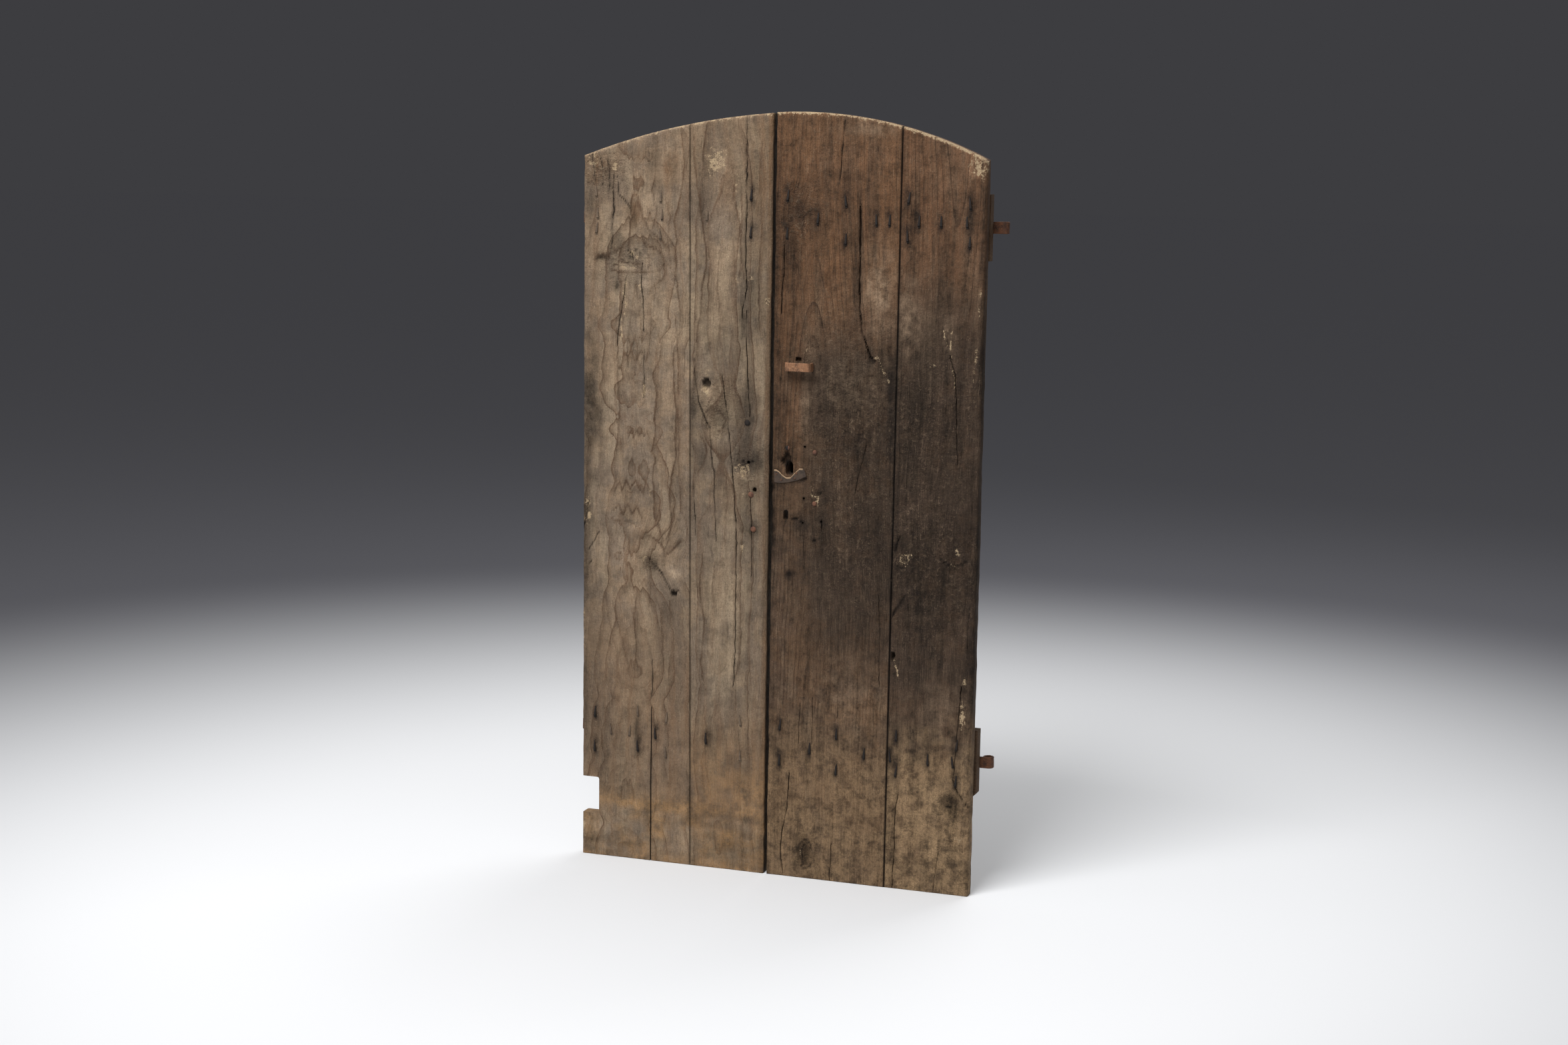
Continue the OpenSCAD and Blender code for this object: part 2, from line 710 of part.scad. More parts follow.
// Bolt with a shouldered body and the talon in which the key turns, drawn back into its case
module lock_bolt() {
    color("#5f4c40") on_right() difference() {
        union() {
            translate([case_x, bolt_y - bolt_t / 2, bolt_z - bolt_h / 2])
                cube([bolt_tail_x - case_x, bolt_t, bolt_h]);
            translate([bolt_shoulder_x, bolt_y - bolt_t / 2, bolt_z - bolt_body_h / 2])
                cube([bolt_tail_x - bolt_shoulder_x, bolt_t, bolt_body_h]);
        }
        translate([talon_x - talon_w / 2, bolt_y - bolt_t / 2 - cut, bolt_z + bolt_body_h / 2 - talon_in])
            cube([talon_w, bolt_t + 2 * cut, talon_in + cut]);
    }
}

// Stirrup on the case that carries the bolt's tail
module bolt_guide() {
    slot_h = bolt_body_h + 2 * bolt_play;
    slot_t = bolt_t + 2 * bolt_play;
    guide_front = bolt_y - slot_t / 2 - guide_frame / 2;
    color("#5f4c40") on_right() difference() {
        translate([guide_x, guide_front, bolt_z - slot_h / 2 - guide_frame])
            cube([guide_l, case_back - lock_wall - guide_front, slot_h + 2 * guide_frame]);
        translate([guide_x - cut, bolt_y - slot_t / 2, bolt_z - slot_h / 2])
            cube([guide_l + 2 * cut, slot_t, slot_h]);
    }
}

// Leaf spring from the case's far side down to the bolt's body
module bolt_spring() {
    wall_x = case_far - lock_wall;
    tip_x = guide_x + guide_l + 2;
    low_z = bolt_z + bolt_body_h / 2 + bolt_play;
    high_z = low_z + spring_rise;
    color("#6a5a4e") on_right() pushed_back(bolt_y - spring_w / 2, spring_w) polygon([
        [tip_x, low_z], [tip_x + spring_foot / 2, low_z], [wall_x - spring_t, high_z],
        [wall_x - spring_t, high_z - spring_foot], [wall_x, high_z - spring_foot],
        [wall_x, high_z + spring_t], [wall_x - spring_t, high_z + spring_t],
        [tip_x + spring_foot / 2, low_z + spring_t], [tip_x, low_z + spring_t]
    ]);
}

module lock_nails() {
    color("#6a4433") on_right() for (at = lock_nail_places)
        translate([at[0], 0, at[1]]) front_nail(case_back, lock_nail_head_d);
}

left_wide_board();
left_narrow_board();
left_upper_batten();
left_lower_batten();
left_upper_hinge_strap();
left_lower_hinge_strap();
left_batten_nails();
left_strap_nails();
bolt_keeper();
keeper_nails();
right_wide_board();
right_narrow_board();
right_upper_batten();
right_lower_batten();
right_upper_hinge_strap();
right_lower_hinge_strap();
right_batten_nails();
right_strap_nails();
pull_staple();
keyhole_plate();
keyhole_plate_rivets();
lock_case();
lock_bolt();
bolt_guide();
bolt_spring();
lock_nails();
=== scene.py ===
import math

import bmesh
import bpy
import numpy as np
from mathutils import Matrix, Vector
from mathutils.bvhtree import BVHTree


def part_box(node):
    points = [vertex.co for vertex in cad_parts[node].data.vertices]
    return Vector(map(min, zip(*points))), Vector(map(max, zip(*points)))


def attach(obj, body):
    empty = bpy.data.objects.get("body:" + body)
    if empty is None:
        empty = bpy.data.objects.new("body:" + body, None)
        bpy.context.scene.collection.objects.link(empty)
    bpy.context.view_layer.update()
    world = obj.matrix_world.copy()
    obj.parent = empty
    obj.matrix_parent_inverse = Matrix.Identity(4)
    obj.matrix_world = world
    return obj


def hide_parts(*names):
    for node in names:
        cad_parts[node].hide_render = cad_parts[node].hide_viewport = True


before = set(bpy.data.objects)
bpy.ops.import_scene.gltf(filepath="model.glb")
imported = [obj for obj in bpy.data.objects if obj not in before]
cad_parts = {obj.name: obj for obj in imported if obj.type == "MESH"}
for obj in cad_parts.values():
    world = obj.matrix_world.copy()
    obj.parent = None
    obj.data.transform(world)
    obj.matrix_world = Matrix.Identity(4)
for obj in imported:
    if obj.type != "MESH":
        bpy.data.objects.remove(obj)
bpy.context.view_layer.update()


# Left leaf, wide board: a flat-sawn softwood plank at the hanging side, grey with age, with a notch cut
# in its edge and a split that runs up from its foot. It was sawn and planed by hand, it has worn round at
# its outer edges, and its two battens are nailed to its back.

# Places on the leaves are in millimetres: across from the meeting line (left is negative), up from the
# floor, and back from the front face.
meeting_x = (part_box("left_narrow_board")[1].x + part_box("right_wide_board")[0].x) / 2
front_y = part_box("left_wide_board")[0].y
board_t = (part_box("left_wide_board")[1].y - front_y) * 1000


def place(across, back, up):
    """Millimetres on the leaves as metres in the frame."""
    return np.stack([meeting_x + across / 1000, front_y + back / 1000, up / 1000], -1)


def paint(red, green, blue):
    """A colour as a paint shop gives it, 0 to 255, as the linear colour of a shader socket."""
    shares = [c / 255 for c in (red, green, blue)]
    return (*[c / 12.92 if c <= 0.04 else ((c + 0.055) / 1.055) ** 2.4 for c in shares], 1.0)


def drift(across, along, step_across, step_along, seed):
    """A smooth field from -1 to 1 that wanders over a plank, with steps in millimetres."""
    lattice = np.random.RandomState(seed).uniform(-1, 1, (97, 89))
    p = np.asarray(across, float) / step_across + 4000
    q = np.asarray(along, float) / step_along + 4000
    i, j = np.floor(p).astype(int), np.floor(q).astype(int)
    f, g = p - i, q - j
    f, g = f * f * (3 - 2 * f), g * g * (3 - 2 * g)
    near = lattice[i % 97, j % 89] * (1 - f) + lattice[(i + 1) % 97, j % 89] * f
    far = lattice[i % 97, (j + 1) % 89] * (1 - f) + lattice[(i + 1) % 97, (j + 1) % 89] * f
    return near * (1 - g) + far * g


def eased(value, low, high):
    """0 below low, 1 above high, and a soft rise between them."""
    t = np.clip((value - low) / (high - low), 0, 1)
    return t * t * (3 - 2 * t)


def wander(path, seed, stray=1.2, step=11):
    """A drawn path cut into short steps that stray a little to each side, as a crack in wood does."""
    draws = np.random.RandomState(seed)
    points = []
    for a, b in zip(np.asarray(path[:-1], float), np.asarray(path[1:], float)):
        count = max(2, int(np.hypot(*(b - a)) / step))
        points.extend(a + (b - a) * k / count for k in range(count))
    points.append(np.asarray(path[-1], float))
    points = np.array(points)
    points[:, 0] += draws.uniform(-stray, stray, len(points))
    return points


def path_gap(u, z, path, reach):
    """How far each place is from a path, wider near its two ends, and on which side of it the place lies."""
    gap, side = np.full(u.shape, 1e6), np.zeros(u.shape)
    low, high = path.min(0) - reach, path.max(0) + reach
    close = (u > low[0]) & (u < high[0]) & (z > low[1]) & (z < high[1])
    pu, pz = u[close], z[close]
    best, share, hand = np.full(pu.shape, 1e6), np.zeros(pu.shape), np.zeros(pu.shape)
    count = len(path) - 1
    for k, (a, b) in enumerate(zip(path[:-1], path[1:])):
        run = b - a
        t = np.clip(((pu - a[0]) * run[0] + (pz - a[1]) * run[1]) / (run @ run), 0, 1)
        far = np.hypot(pu - a[0] - t * run[0], pz - a[1] - t * run[1])
        nearer = far < best
        best[nearer] = far[nearer]
        share[nearer] = ((k + t) / count)[nearer]
        hand[nearer] = np.sign(run[0] * (pz - a[1]) - run[1] * (pu - a[0]))[nearer]
    taper = 0.35 + 0.65 * np.clip(6 * np.minimum(share, 1 - share), 0, 1)
    gap[close] = best / taper
    side[close] = hand
    return gap, side


def nearness(u, z, path, half_width):
    """1 on a path, falling to 0 at its half width; the path tapers to its two ends."""
    return np.clip(1 - path_gap(u, z, path, 3 * half_width)[0] / half_width, 0, 1)


def patches(u, z, places):
    """Soft patches with uneven outlines, each with its middle, half sizes across and up, and strength."""
    total = np.zeros(u.shape)
    stray_u, stray_z = drift(u, z, 11, 26, 96), drift(u, z, 17, 19, 97)
    for at_u, at_z, half_u, half_z, strength in places:
        far_u = (u - at_u) / half_u + 0.45 * stray_u
        far_z = (z - at_z) / half_z + 0.45 * stray_z
        total = np.maximum(total, strength * np.exp(-(far_u**2) - far_z**2))
    return total


def drawn_lines(u, z, strokes, seed, band=0.0):
    """Lines along drawn paths, each with its half width, strength and points. A band is the width of the soft
    shade that late wood has on one side of its line: on the left hand of someone who walks along the path."""
    total = np.zeros(u.shape)
    for k, (half, strength, path) in enumerate(strokes):
        gap, side = path_gap(u, z, wander(path, seed + k, 1.6, 8), 3 * half + 2 * band)
        part = np.clip(0.75 + 0.45 * drift(u, z, 30, 34, seed + k), 0.3, 1.1)
        total = np.maximum(total, strength * part * eased(1 - gap / half, 0, 0.8))
        if band:
            shade = np.exp(-gap / band) * (side > 0)
            total = np.maximum(total, 0.55 * strength * part * shade)
    return total


def oval(at_u, at_z, half_u, half_z, first=0, last=360):
    """Points round an oval, between two angles in degrees, for a line of grain round a knot."""
    turn = np.radians(np.linspace(first, last, 19))
    return [(at_u + half_u * math.cos(t), at_z + half_z * math.sin(t)) for t in turn]


def ragged_pits(u, z, places):
    """How deep broken-out places lie, each with its middle, half sizes and depth."""
    total = np.zeros(u.shape)
    for at_u, at_z, half_u, half_z, depth in places:
        edge = 1 + 0.28 * drift(u, z, half_u * 0.7, half_z * 0.7, 71) + 0.12 * drift(u, z, 2.5, 3.5, 72)
        reach = np.hypot((u - at_u) / half_u, (z - at_z) / half_z) / edge
        total = np.maximum(total, depth * np.clip(1.35 * (1 - reach**3), 0, 1))
    return total


def spaced(total, first_round, last_round, step):
    """Grid lines over a length: close together round the two worn edges, then evenly spaced."""
    turn = np.radians(np.linspace(0, 90, 6))
    head = first_round * (1 - np.cos(turn))
    tail = total - last_round * (1 - np.cos(turn[::-1]))
    count = max(2, int(round((tail[0] - head[-1]) / step)))
    return np.concatenate([head[:-1], np.linspace(head[-1], tail[0], count + 1), tail[1:]])


def rounded_off(distance, radius):
    """How far a face falls away near an edge that is worn to a radius."""
    inside = np.clip(radius - distance, 0, radius)
    return radius - np.sqrt(radius**2 - inside**2)


def added(name, data):
    """A new object in the scene."""
    made = bpy.data.objects.new(name, data)
    bpy.context.scene.collection.objects.link(made)
    return made


def settled(piece):
    """Makes what a piece's modifiers do part of its mesh."""
    mesh = bpy.data.meshes.new_from_object(piece.evaluated_get(bpy.context.evaluated_depsgraph_get()))
    piece.modifiers.clear()
    piece.data = mesh
    return mesh


def plank(name, low, high, foot, front_head, back_head, arris, step, sunk, thick, from_back=0.0, cracks=(),
          upright=True):
    """A closed mesh of a worn plank. Its edges and heads are functions; sunk gives the front's hollows."""
    heads = front_head(np.linspace(low(foot), high(foot), 60))
    tall = heads.max() - foot
    arch_zone = 380
    bend = foot + tall - arch_zone if upright else foot + tall / 2
    mid = foot + tall / 2
    wide = high(mid) - low(mid)
    share = spaced(wide, arris[0], arris[1], step[0]) / wide
    rows = foot + spaced(tall, arris[2], arris[3], step[1])
    b = np.repeat(rows[:, None], len(share), 1)
    a = low(b) + share[None, :] * (high(b) - low(b))
    for path, half_width in cracks:
        steep = abs(path[-1, 1] - path[0, 1]) > 2.5 * abs(path[-1, 0] - path[0, 0])
        order = np.argsort(path[:, 1])
        for row in np.nonzero((rows > path[:, 1].min()) & (rows < path[:, 1].max()) & steep)[0]:
            line = np.interp(rows[row], path[order, 1], path[order, 0])
            k = int(np.argmin(abs(a[row] - line)))
            if 8 < k < len(share) - 9:
                a[row, k] = line
                a[row, k - 1] = line - half_width
                a[row, k + 1] = line + half_width
    faces = []
    for head, side in ((front_head, 0), (back_head, 1)):
        top = head(a)
        up = np.where(b > bend, bend + (b - bend) * (top - bend) / (foot + tall - bend), b)
        worn = [1 + 0.3 * drift(up, 0 * up, 60, 1, 21 + 4 * side + k)
                + 0.15 * drift(up, 0 * up, 14, 1, 31 + k) for k in range(2)]
        off = rounded_off(a - low(up), arris[0] * np.clip(worn[0], 0.5, 1.4))
        off = np.maximum(off, rounded_off(high(up) - a, arris[1] * np.clip(worn[1], 0.5, 1.4)))
        ends = np.clip(1 + 0.3 * drift(a, 0 * a, 45, 1, 41 + side), 0.6, 1.3)
        off = np.maximum(off, rounded_off(up - foot, arris[2] * ends))
        off = np.maximum(off, rounded_off(top - up, arris[3] * ends))
        bites = np.clip((np.array(arris[:2]) - 2.6) / 2.4, 0, 1) * 0.7
        nibble = bites[0] * (1 + drift(up, 0 * up, 22, 1, 51)) * np.exp(-(a - low(up)) / 5)
        nibble = nibble - bites[1] * (1 + drift(up, 0 * up, 25, 1, 52)) * np.exp(-(high(up) - a) / 5)
        if side == 0:
            back = np.minimum(off + sunk(a, up), thick * 0.5)
        else:
            back = thick - off - 0.5 * (1 + drift(a, up, 40, 130, 61))
            back = back - 0.25 * (1 + drift(a, up, 4, 60, 62))
        faces.append((a + nibble, from_back + back, up))
    grid = np.arange(a.size).reshape(a.shape)
    rim = np.concatenate([grid[0, :-1], grid[:-1, -1], grid[-1, :0:-1], grid[:0:-1, 0]])
    (fa, fb, fz), (ba, bb, bz) = [[f.ravel() for f in face] for face in faces]
    points = [(fa, fb, fz), (ba, bb, bz)]
    strips = 5
    for k in range(1, strips):
        w = k / strips
        points.append([p[rim] * (1 - w) + q[rim] * w for p, q in zip((fa, fb, fz), (ba, bb, bz))])
    across, back, up = [np.concatenate(c) for c in zip(*points)]
    corners = [grid[:-1, :-1], grid[:-1, 1:], grid[1:, 1:], grid[1:, :-1]]
    front = np.stack([c.ravel() for c in corners], -1)
    rear = front[:, ::-1] + a.size
    between = [2 * a.size + k * len(rim) + np.arange(len(rim)) for k in range(strips - 1)]
    rings = [rim, *between, rim + a.size]
    walls = [np.stack([p, q, np.roll(q, -1), np.roll(p, -1)], -1) for p, q in zip(rings[:-1], rings[1:])]
    polygons = np.concatenate([front, rear, *walls])
    if not upright:
        across, up = up, across
        polygons = polygons[:, ::-1]
    mesh = bpy.data.meshes.new(name)
    mesh.from_pydata(place(across, back, up).tolist(), [], polygons.tolist())
    return added(name, mesh)


def ragged_round(at_u, at_z, half_u, half_z, seed, rough=0.12, count=22):
    """The outline of a hole that was bored or burnt by hand, or broken out."""
    turn = np.arange(count) / count * 2 * math.pi
    stray = 1 + rough * np.random.RandomState(seed).uniform(-1, 1, count)
    return np.stack([at_u + half_u * stray * np.cos(turn), at_z + half_z * stray * np.sin(turn)], -1)


def cut_out(piece, outlines):
    """Takes straight-walled openings out of a board. Each is an outline on the front face and a depth."""
    cutter = bmesh.new()
    for outline, depth in outlines:
        near = [cutter.verts.new(p) for p in place(outline[:, 0], 0 * outline[:, 0] - 8, outline[:, 1])]
        far = [cutter.verts.new(p) for p in place(outline[:, 0], 0 * outline[:, 0] + depth, outline[:, 1])]
        cutter.faces.new(near)
        cutter.faces.new(far[::-1])
        for k in range(len(near)):
            m = (k + 1) % len(near)
            cutter.faces.new((near[k], far[k], far[m], near[m]))
    bmesh.ops.recalc_face_normals(cutter, faces=cutter.faces)
    mesh = bpy.data.meshes.new(piece.name + "_openings")
    cutter.to_mesh(mesh)
    cutter.free()
    tool = added(mesh.name, mesh)
    opening = piece.modifiers.new("openings", "BOOLEAN")
    opening.operation = "DIFFERENCE"
    opening.solver = "MANIFOLD"
    opening.object = tool
    settled(piece)
    bpy.data.objects.remove(tool)


def points_of(piece):
    """Places of a piece's vertices in millimetres: across, back, up."""
    at = np.zeros(len(piece.data.vertices) * 3)
    piece.data.vertices.foreach_get("co", at)
    at = at.reshape(-1, 3) * 1000
    return at[:, 0] - meeting_x * 1000, at[:, 1] - front_y * 1000, at[:, 2]


def finish_mesh(piece, fields, wood, crease=48):
    """Keeps what a board's material reads at its vertices, and smooths its shading between its creases."""
    for name, values in fields.items():
        kept = piece.data.attributes.new(name, "FLOAT", "POINT")
        kept.data.foreach_set("value", np.asarray(values, np.float32))
    piece.data.materials.clear()
    piece.data.materials.append(wood)
    piece.data.shade_smooth()
    piece.data.set_sharp_from_angle(angle=math.radians(crease))


def solid_hits(node, starts, towards):
    """Where lines that start outside a solid first meet it, in millimetres on the leaves."""
    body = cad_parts[node].data
    tree = BVHTree.FromPolygons([v.co for v in body.vertices], [p.vertices[:] for p in body.polygons])
    hits = []
    for start in starts:
        found = tree.ray_cast(Vector(start), Vector(towards))[0]
        hits.append([1000 * (found.x - meeting_x), 1000 * (found.y - front_y), 1000 * found.z])
    return np.array(hits)


def straight_edge(node, side, proud=0.0, heights=(520.0, 1330.0)):
    """A board's edge as a function of the height, from two places on the solid. Its side is -1 or 1, and it
    can stand proud by a little, to close a seam."""
    outside = 900.0
    starts = [place(side * outside, board_t / 2, h) for h in heights]
    found = solid_hits(node, starts, (-side, 0, 0))[:, 0]
    slope = (found[1] - found[0]) / (heights[1] - heights[0])
    return lambda z: found[0] + side * proud + slope * (z - heights[0])


def arched_head(node, low, high, back):
    """The top of a board as a function of the place across, read from the solid at a depth."""
    inset, above = 1.3, 2200.0
    across = np.linspace(low + inset, high - inset, 90)
    starts = [place(u, back, above) for u in across]
    tops = solid_hits(node, starts, (0, 0, -1))[:, 2]
    return lambda u: np.interp(u, across, tops)


def painted_seam_shade(u, edge, dark):
    """Painted shade in the seam between two boards of a leaf, 0 to 1."""
    return dark * eased(abs(edge - u), 3.4, 1.2)


def nail_points(*nodes):
    """Places on the front where the nails' clenched points lie, as middle across, low end and high end."""
    bars = []
    for node in nodes:
        at = np.array([v.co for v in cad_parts[node].data.vertices]) * 1000
        at = at - np.array([meeting_x, front_y, 0]) * 1000
        for u, y, z in at[at[:, 1] < -0.4]:
            for bar in bars:
                if abs(bar[0] - u) < 9 and bar[1] - 22 < z < bar[2] + 22:
                    bar[:] = [bar[0], min(bar[1], z), max(bar[2], z)]
                    break
            else:
                bars.append([u, z, z])
    return bars


def iron_stain(u, z, bars):
    """The black that iron leaves in wet wood round the nails, 0 to 1, and the bruise under each point."""
    stain, bruise = np.zeros(u.shape), np.zeros(u.shape)
    for k, (at, low, high) in enumerate(bars):
        mid, half = (low + high) / 2, (high - low) / 2
        reach = np.hypot((u - at) / 7.5, np.maximum(abs(z - mid) - half * 0.6, 0) / 13)
        reach = reach * (1 + 0.25 * drift(u, z, 6, 14, 81 + k % 5))
        stain = np.maximum(stain, np.exp(-(reach**2)) * (0.75 + 0.25 * math.sin(2.4 * k)))
        bruise = np.maximum(bruise, np.exp(-((np.hypot((u - at) / 6, (z - mid) / 18)) ** 2)))
    return stain, bruise


def joined(tree, socket, value):
    """Sets a shader socket to a value, or links it to another node's output."""
    if isinstance(value, bpy.types.NodeSocket):
        tree.links.new(value, socket)
    else:
        socket.default_value = value


def noise_of(tree, vector, scale, detail, rough):
    """Smooth noise, with its scale per millimetre."""
    made = tree.nodes.new("ShaderNodeTexNoise")
    joined(tree, made.inputs["Vector"], vector)
    joined(tree, made.inputs["Scale"], scale)
    joined(tree, made.inputs["Detail"], detail)
    joined(tree, made.inputs["Roughness"], rough)
    return made.outputs["Fac"]


def sum_of(tree, kind, first, second=0.5, third=0.5):
    """One step of arithmetic on values in a material."""
    made = tree.nodes.new("ShaderNodeMath")
    made.operation = kind
    for socket, value in zip(made.inputs, (first, second, third)):
        joined(tree, socket, value)
    return made.outputs[0]


def product(tree, first, second):
    return sum_of(tree, "MULTIPLY", first, second)


def ranged(tree, value, low, high, to_low=0.0, to_high=1.0):
    """A value's soft rise from one level to another, while it goes from low to high."""
    made = tree.nodes.new("ShaderNodeMapRange")
    made.interpolation_type = "SMOOTHSTEP"
    for key, setting in (("Value", value), ("From Min", low), ("From Max", high), ("To Min", to_low),
                         ("To Max", to_high)):
        joined(tree, made.inputs[key], setting)
    return made.outputs["Result"]


def blended(tree, share, under, over):
    """One colour laid over another by a share."""
    made = tree.nodes.new("ShaderNodeMix")
    made.data_type = "RGBA"
    joined(tree, made.inputs[0], share)
    joined(tree, made.inputs[6], under)
    joined(tree, made.inputs[7], over)
    return made.outputs[2]


def field_of(tree, name):
    """What a board keeps at its vertices under a name."""
    made = tree.nodes.new("ShaderNodeAttribute")
    made.attribute_name = name
    return made.outputs["Fac"]


def scaled(tree, vector, share):
    """A vector or a colour times a share."""
    made = tree.nodes.new("ShaderNodeVectorMath")
    made.operation = "SCALE"
    joined(tree, made.inputs[0], vector)
    joined(tree, made.inputs["Scale"], share)
    return made.outputs[0]


def millimetres(tree):
    """A piece's own coordinates in millimetres, as a vector and as its three parts."""
    own = tree.nodes.new("ShaderNodeTexCoord")
    sized = scaled(tree, own.outputs["Object"], 1000.0)
    parts = tree.nodes.new("ShaderNodeSeparateXYZ")
    joined(tree, parts.inputs[0], sized)
    return sized, parts.outputs


def surface(name):
    """A new material with its tree and its shader."""
    made = bpy.data.materials.new(name)
    made.use_nodes = True
    tree = made.node_tree
    tree.nodes.clear()
    shader = tree.nodes.new("ShaderNodeBsdfPrincipled")
    out = tree.nodes.new("ShaderNodeOutputMaterial")
    tree.links.new(shader.outputs[0], out.inputs[0])
    return made, tree, shader


def bumped(tree, shader, height, strength, distance):
    """Gives a shader the fine relief of a height, with its distance in metres."""
    relief = tree.nodes.new("ShaderNodeBump")
    relief.inputs["Strength"].default_value = strength
    relief.inputs["Distance"].default_value = distance
    joined(tree, relief.inputs["Height"], height)
    joined(tree, shader.inputs["Normal"], relief.outputs["Normal"])


def aged_wood(name, bright, bare, silver, late, deep, red, hand, soil, line=0.75, fibrous=0.45, spots=0.25,
              streaky=1.0, cloudy=1.3, gritty=1.2, along="Z"):
    """Weathered softwood. It reads the board's own grain, stains and breaks, and adds fibres and specks. It
    paints shade and highlights too.
    """
    made, tree, shader = surface(name)
    place_mm, axes = millimetres(tree)
    across, ring = field_of(tree, "across"), field_of(tree, "ring")

    def drawn_out(share, scale, detail, rough):
        """Noise drawn out along the grain, by a share of its length."""
        made = tree.nodes.new("ShaderNodeCombineXYZ")
        for socket, value in zip(made.inputs, (across, axes["Y"], product(tree, axes[along], share))):
            joined(tree, socket, value)
        return noise_of(tree, made.outputs[0], scale, detail, rough)

    fibre = drawn_out(0.03, 0.75, 6.0, 0.7)
    vein = drawn_out(0.08, 1.1, 2.0, 0.5)
    streak = drawn_out(0.06, 0.055, 5.0, 0.62)
    wash = drawn_out(0.3, 0.016, 6.0, 0.62)
    blotch = noise_of(tree, place_mm, 0.0075, 8.0, 0.68)
    cloud = noise_of(tree, place_mm, 0.036, 8.0, 0.7)
    grit = noise_of(tree, place_mm, 0.13, 6.0, 0.62)
    speck = noise_of(tree, place_mm, 0.34, 4.0, 0.65)
    dust = noise_of(tree, place_mm, 1.1, 2.0, 0.5)

    waver = sum_of(tree, "MULTIPLY_ADD", fibre, 0.1, ring)
    turn = sum_of(tree, "FRACT", waver)
    lot = tree.nodes.new("ShaderNodeTexWhiteNoise")
    lot.noise_dimensions = "1D"
    joined(tree, lot.inputs["W"], sum_of(tree, "FLOOR", waver))
    broad = product(tree, ranged(tree, turn, 0.45, 0.95, 0.0, 0.6), ranged(tree, turn, 1.0, 0.985))
    thin = product(tree, ranged(tree, turn, 0.84, 0.94, 0.0, 1.0), ranged(tree, turn, 1.0, 0.98))
    band = sum_of(tree, "MAXIMUM", broad, thin)
    band = product(tree, band, ranged(tree, lot.outputs["Value"], 0.0, 1.0, 0.4, 1.2))
    band = product(tree, band, ranged(tree, wash, 0.36, 0.58, 0.4, 1.0))
    lines = product(tree, band, line)

    colour = blended(tree, ranged(tree, blotch, 0.44, 0.56), bare, silver)
    colour = blended(tree, ranged(tree, wash, 0.5, 0.62, 0.0, 0.4), colour, bright)
    colour = blended(tree, ranged(tree, streak, 0.5, 0.66, 0.0, 0.45), colour, late)
    colour = blended(tree, lines, colour, late)
    colour = blended(tree, field_of(tree, "figure"), colour, blended(tree, 0.3, late, deep))
    # Reddish wood, and on the left leaf a painted band of light along the rounded meeting edge.
    red_tint_and_edge_light = product(tree, field_of(tree, "warm"), ranged(tree, streak, 0.36, 0.58, 0.55, 1.0))
    colour = blended(tree, red_tint_and_edge_light, colour, blended(tree, lines, red, late))
    rubbed = product(tree, field_of(tree, "grime"), ranged(tree, cloud, 0.36, 0.56, 0.55, 1.0))
    colour = blended(tree, rubbed, colour, blended(tree, ranged(tree, wash, 0.46, 0.6, 0.0, 0.7), hand,
                                                   deep))
    hazed = product(tree, field_of(tree, "haze"), ranged(tree, cloud, 0.38, 0.58, 0.5, 1.0))
    colour = blended(tree, hazed, colour, bright)
    muddy = field_of(tree, "soil")
    colour = blended(tree, product(tree, muddy, 0.4), colour, hand)
    mud = product(tree, muddy, ranged(tree, cloud, 0.38, 0.54, 0.5, 1.0))
    mud = product(tree, mud, ranged(tree, sum_of(tree, "ADD", speck, dust), 0.84, 1.1, 0.4, 1.0))
    colour = blended(tree, mud, colour, soil)
    colour = blended(tree, ranged(tree, fibre, 0.52, 0.68, 0.0, fibrous), colour, deep)
    colour = blended(tree, ranged(tree, fibre, 0.46, 0.34, 0.0, fibrous * 0.7), colour, bright)
    colour = blended(tree, ranged(tree, vein, 0.6, 0.72, 0.0, 0.45), colour, deep)
    colour = blended(tree, ranged(tree, cloud, 0.56, 0.68, 0.0, spots), colour, deep)
    colour = blended(tree, ranged(tree, grit, 0.58, 0.7, 0.0, spots), colour, deep)
    colour = blended(tree, ranged(tree, speck, 0.58, 0.72, 0.0, 0.5), colour, deep)
    colour = blended(tree, ranged(tree, speck, 0.42, 0.3, 0.0, 0.4), colour, bright)
    colour = blended(tree, ranged(tree, dust, 0.52, 0.7, 0.0, 0.4), colour, deep)
    skin = field_of(tree, "rough")
    # Painted shade in the pits and a painted highlight on the crests of the rough places, over their bump.
    pit_shade = product(tree, skin, ranged(tree, grit, 0.52, 0.64, 0.0, 0.5))
    colour = blended(tree, pit_shade, colour, deep)
    crest_highlight = product(tree, skin, ranged(tree, grit, 0.45, 0.35, 0.0, 0.45))
    colour = blended(tree, crest_highlight, colour, bright)
    shade = product(tree, field_of(tree, "tone"), ranged(tree, cloud, 0.34, 0.6, 0.55, 1.15))
    uneven = sum_of(tree, "MULTIPLY_ADD", streak, streaky, 1.07 - (streaky + cloudy + gritty) / 2)
    uneven = sum_of(tree, "MULTIPLY_ADD", cloud, cloudy, uneven)
    uneven = sum_of(tree, "MULTIPLY_ADD", grit, gritty, uneven)
    toned = scaled(tree, colour, sum_of(tree, "MAXIMUM", sum_of(tree, "ADD", shade, uneven), 0.25))
    flaked = sum_of(tree, "MULTIPLY_ADD", speck, 0.6, grit)
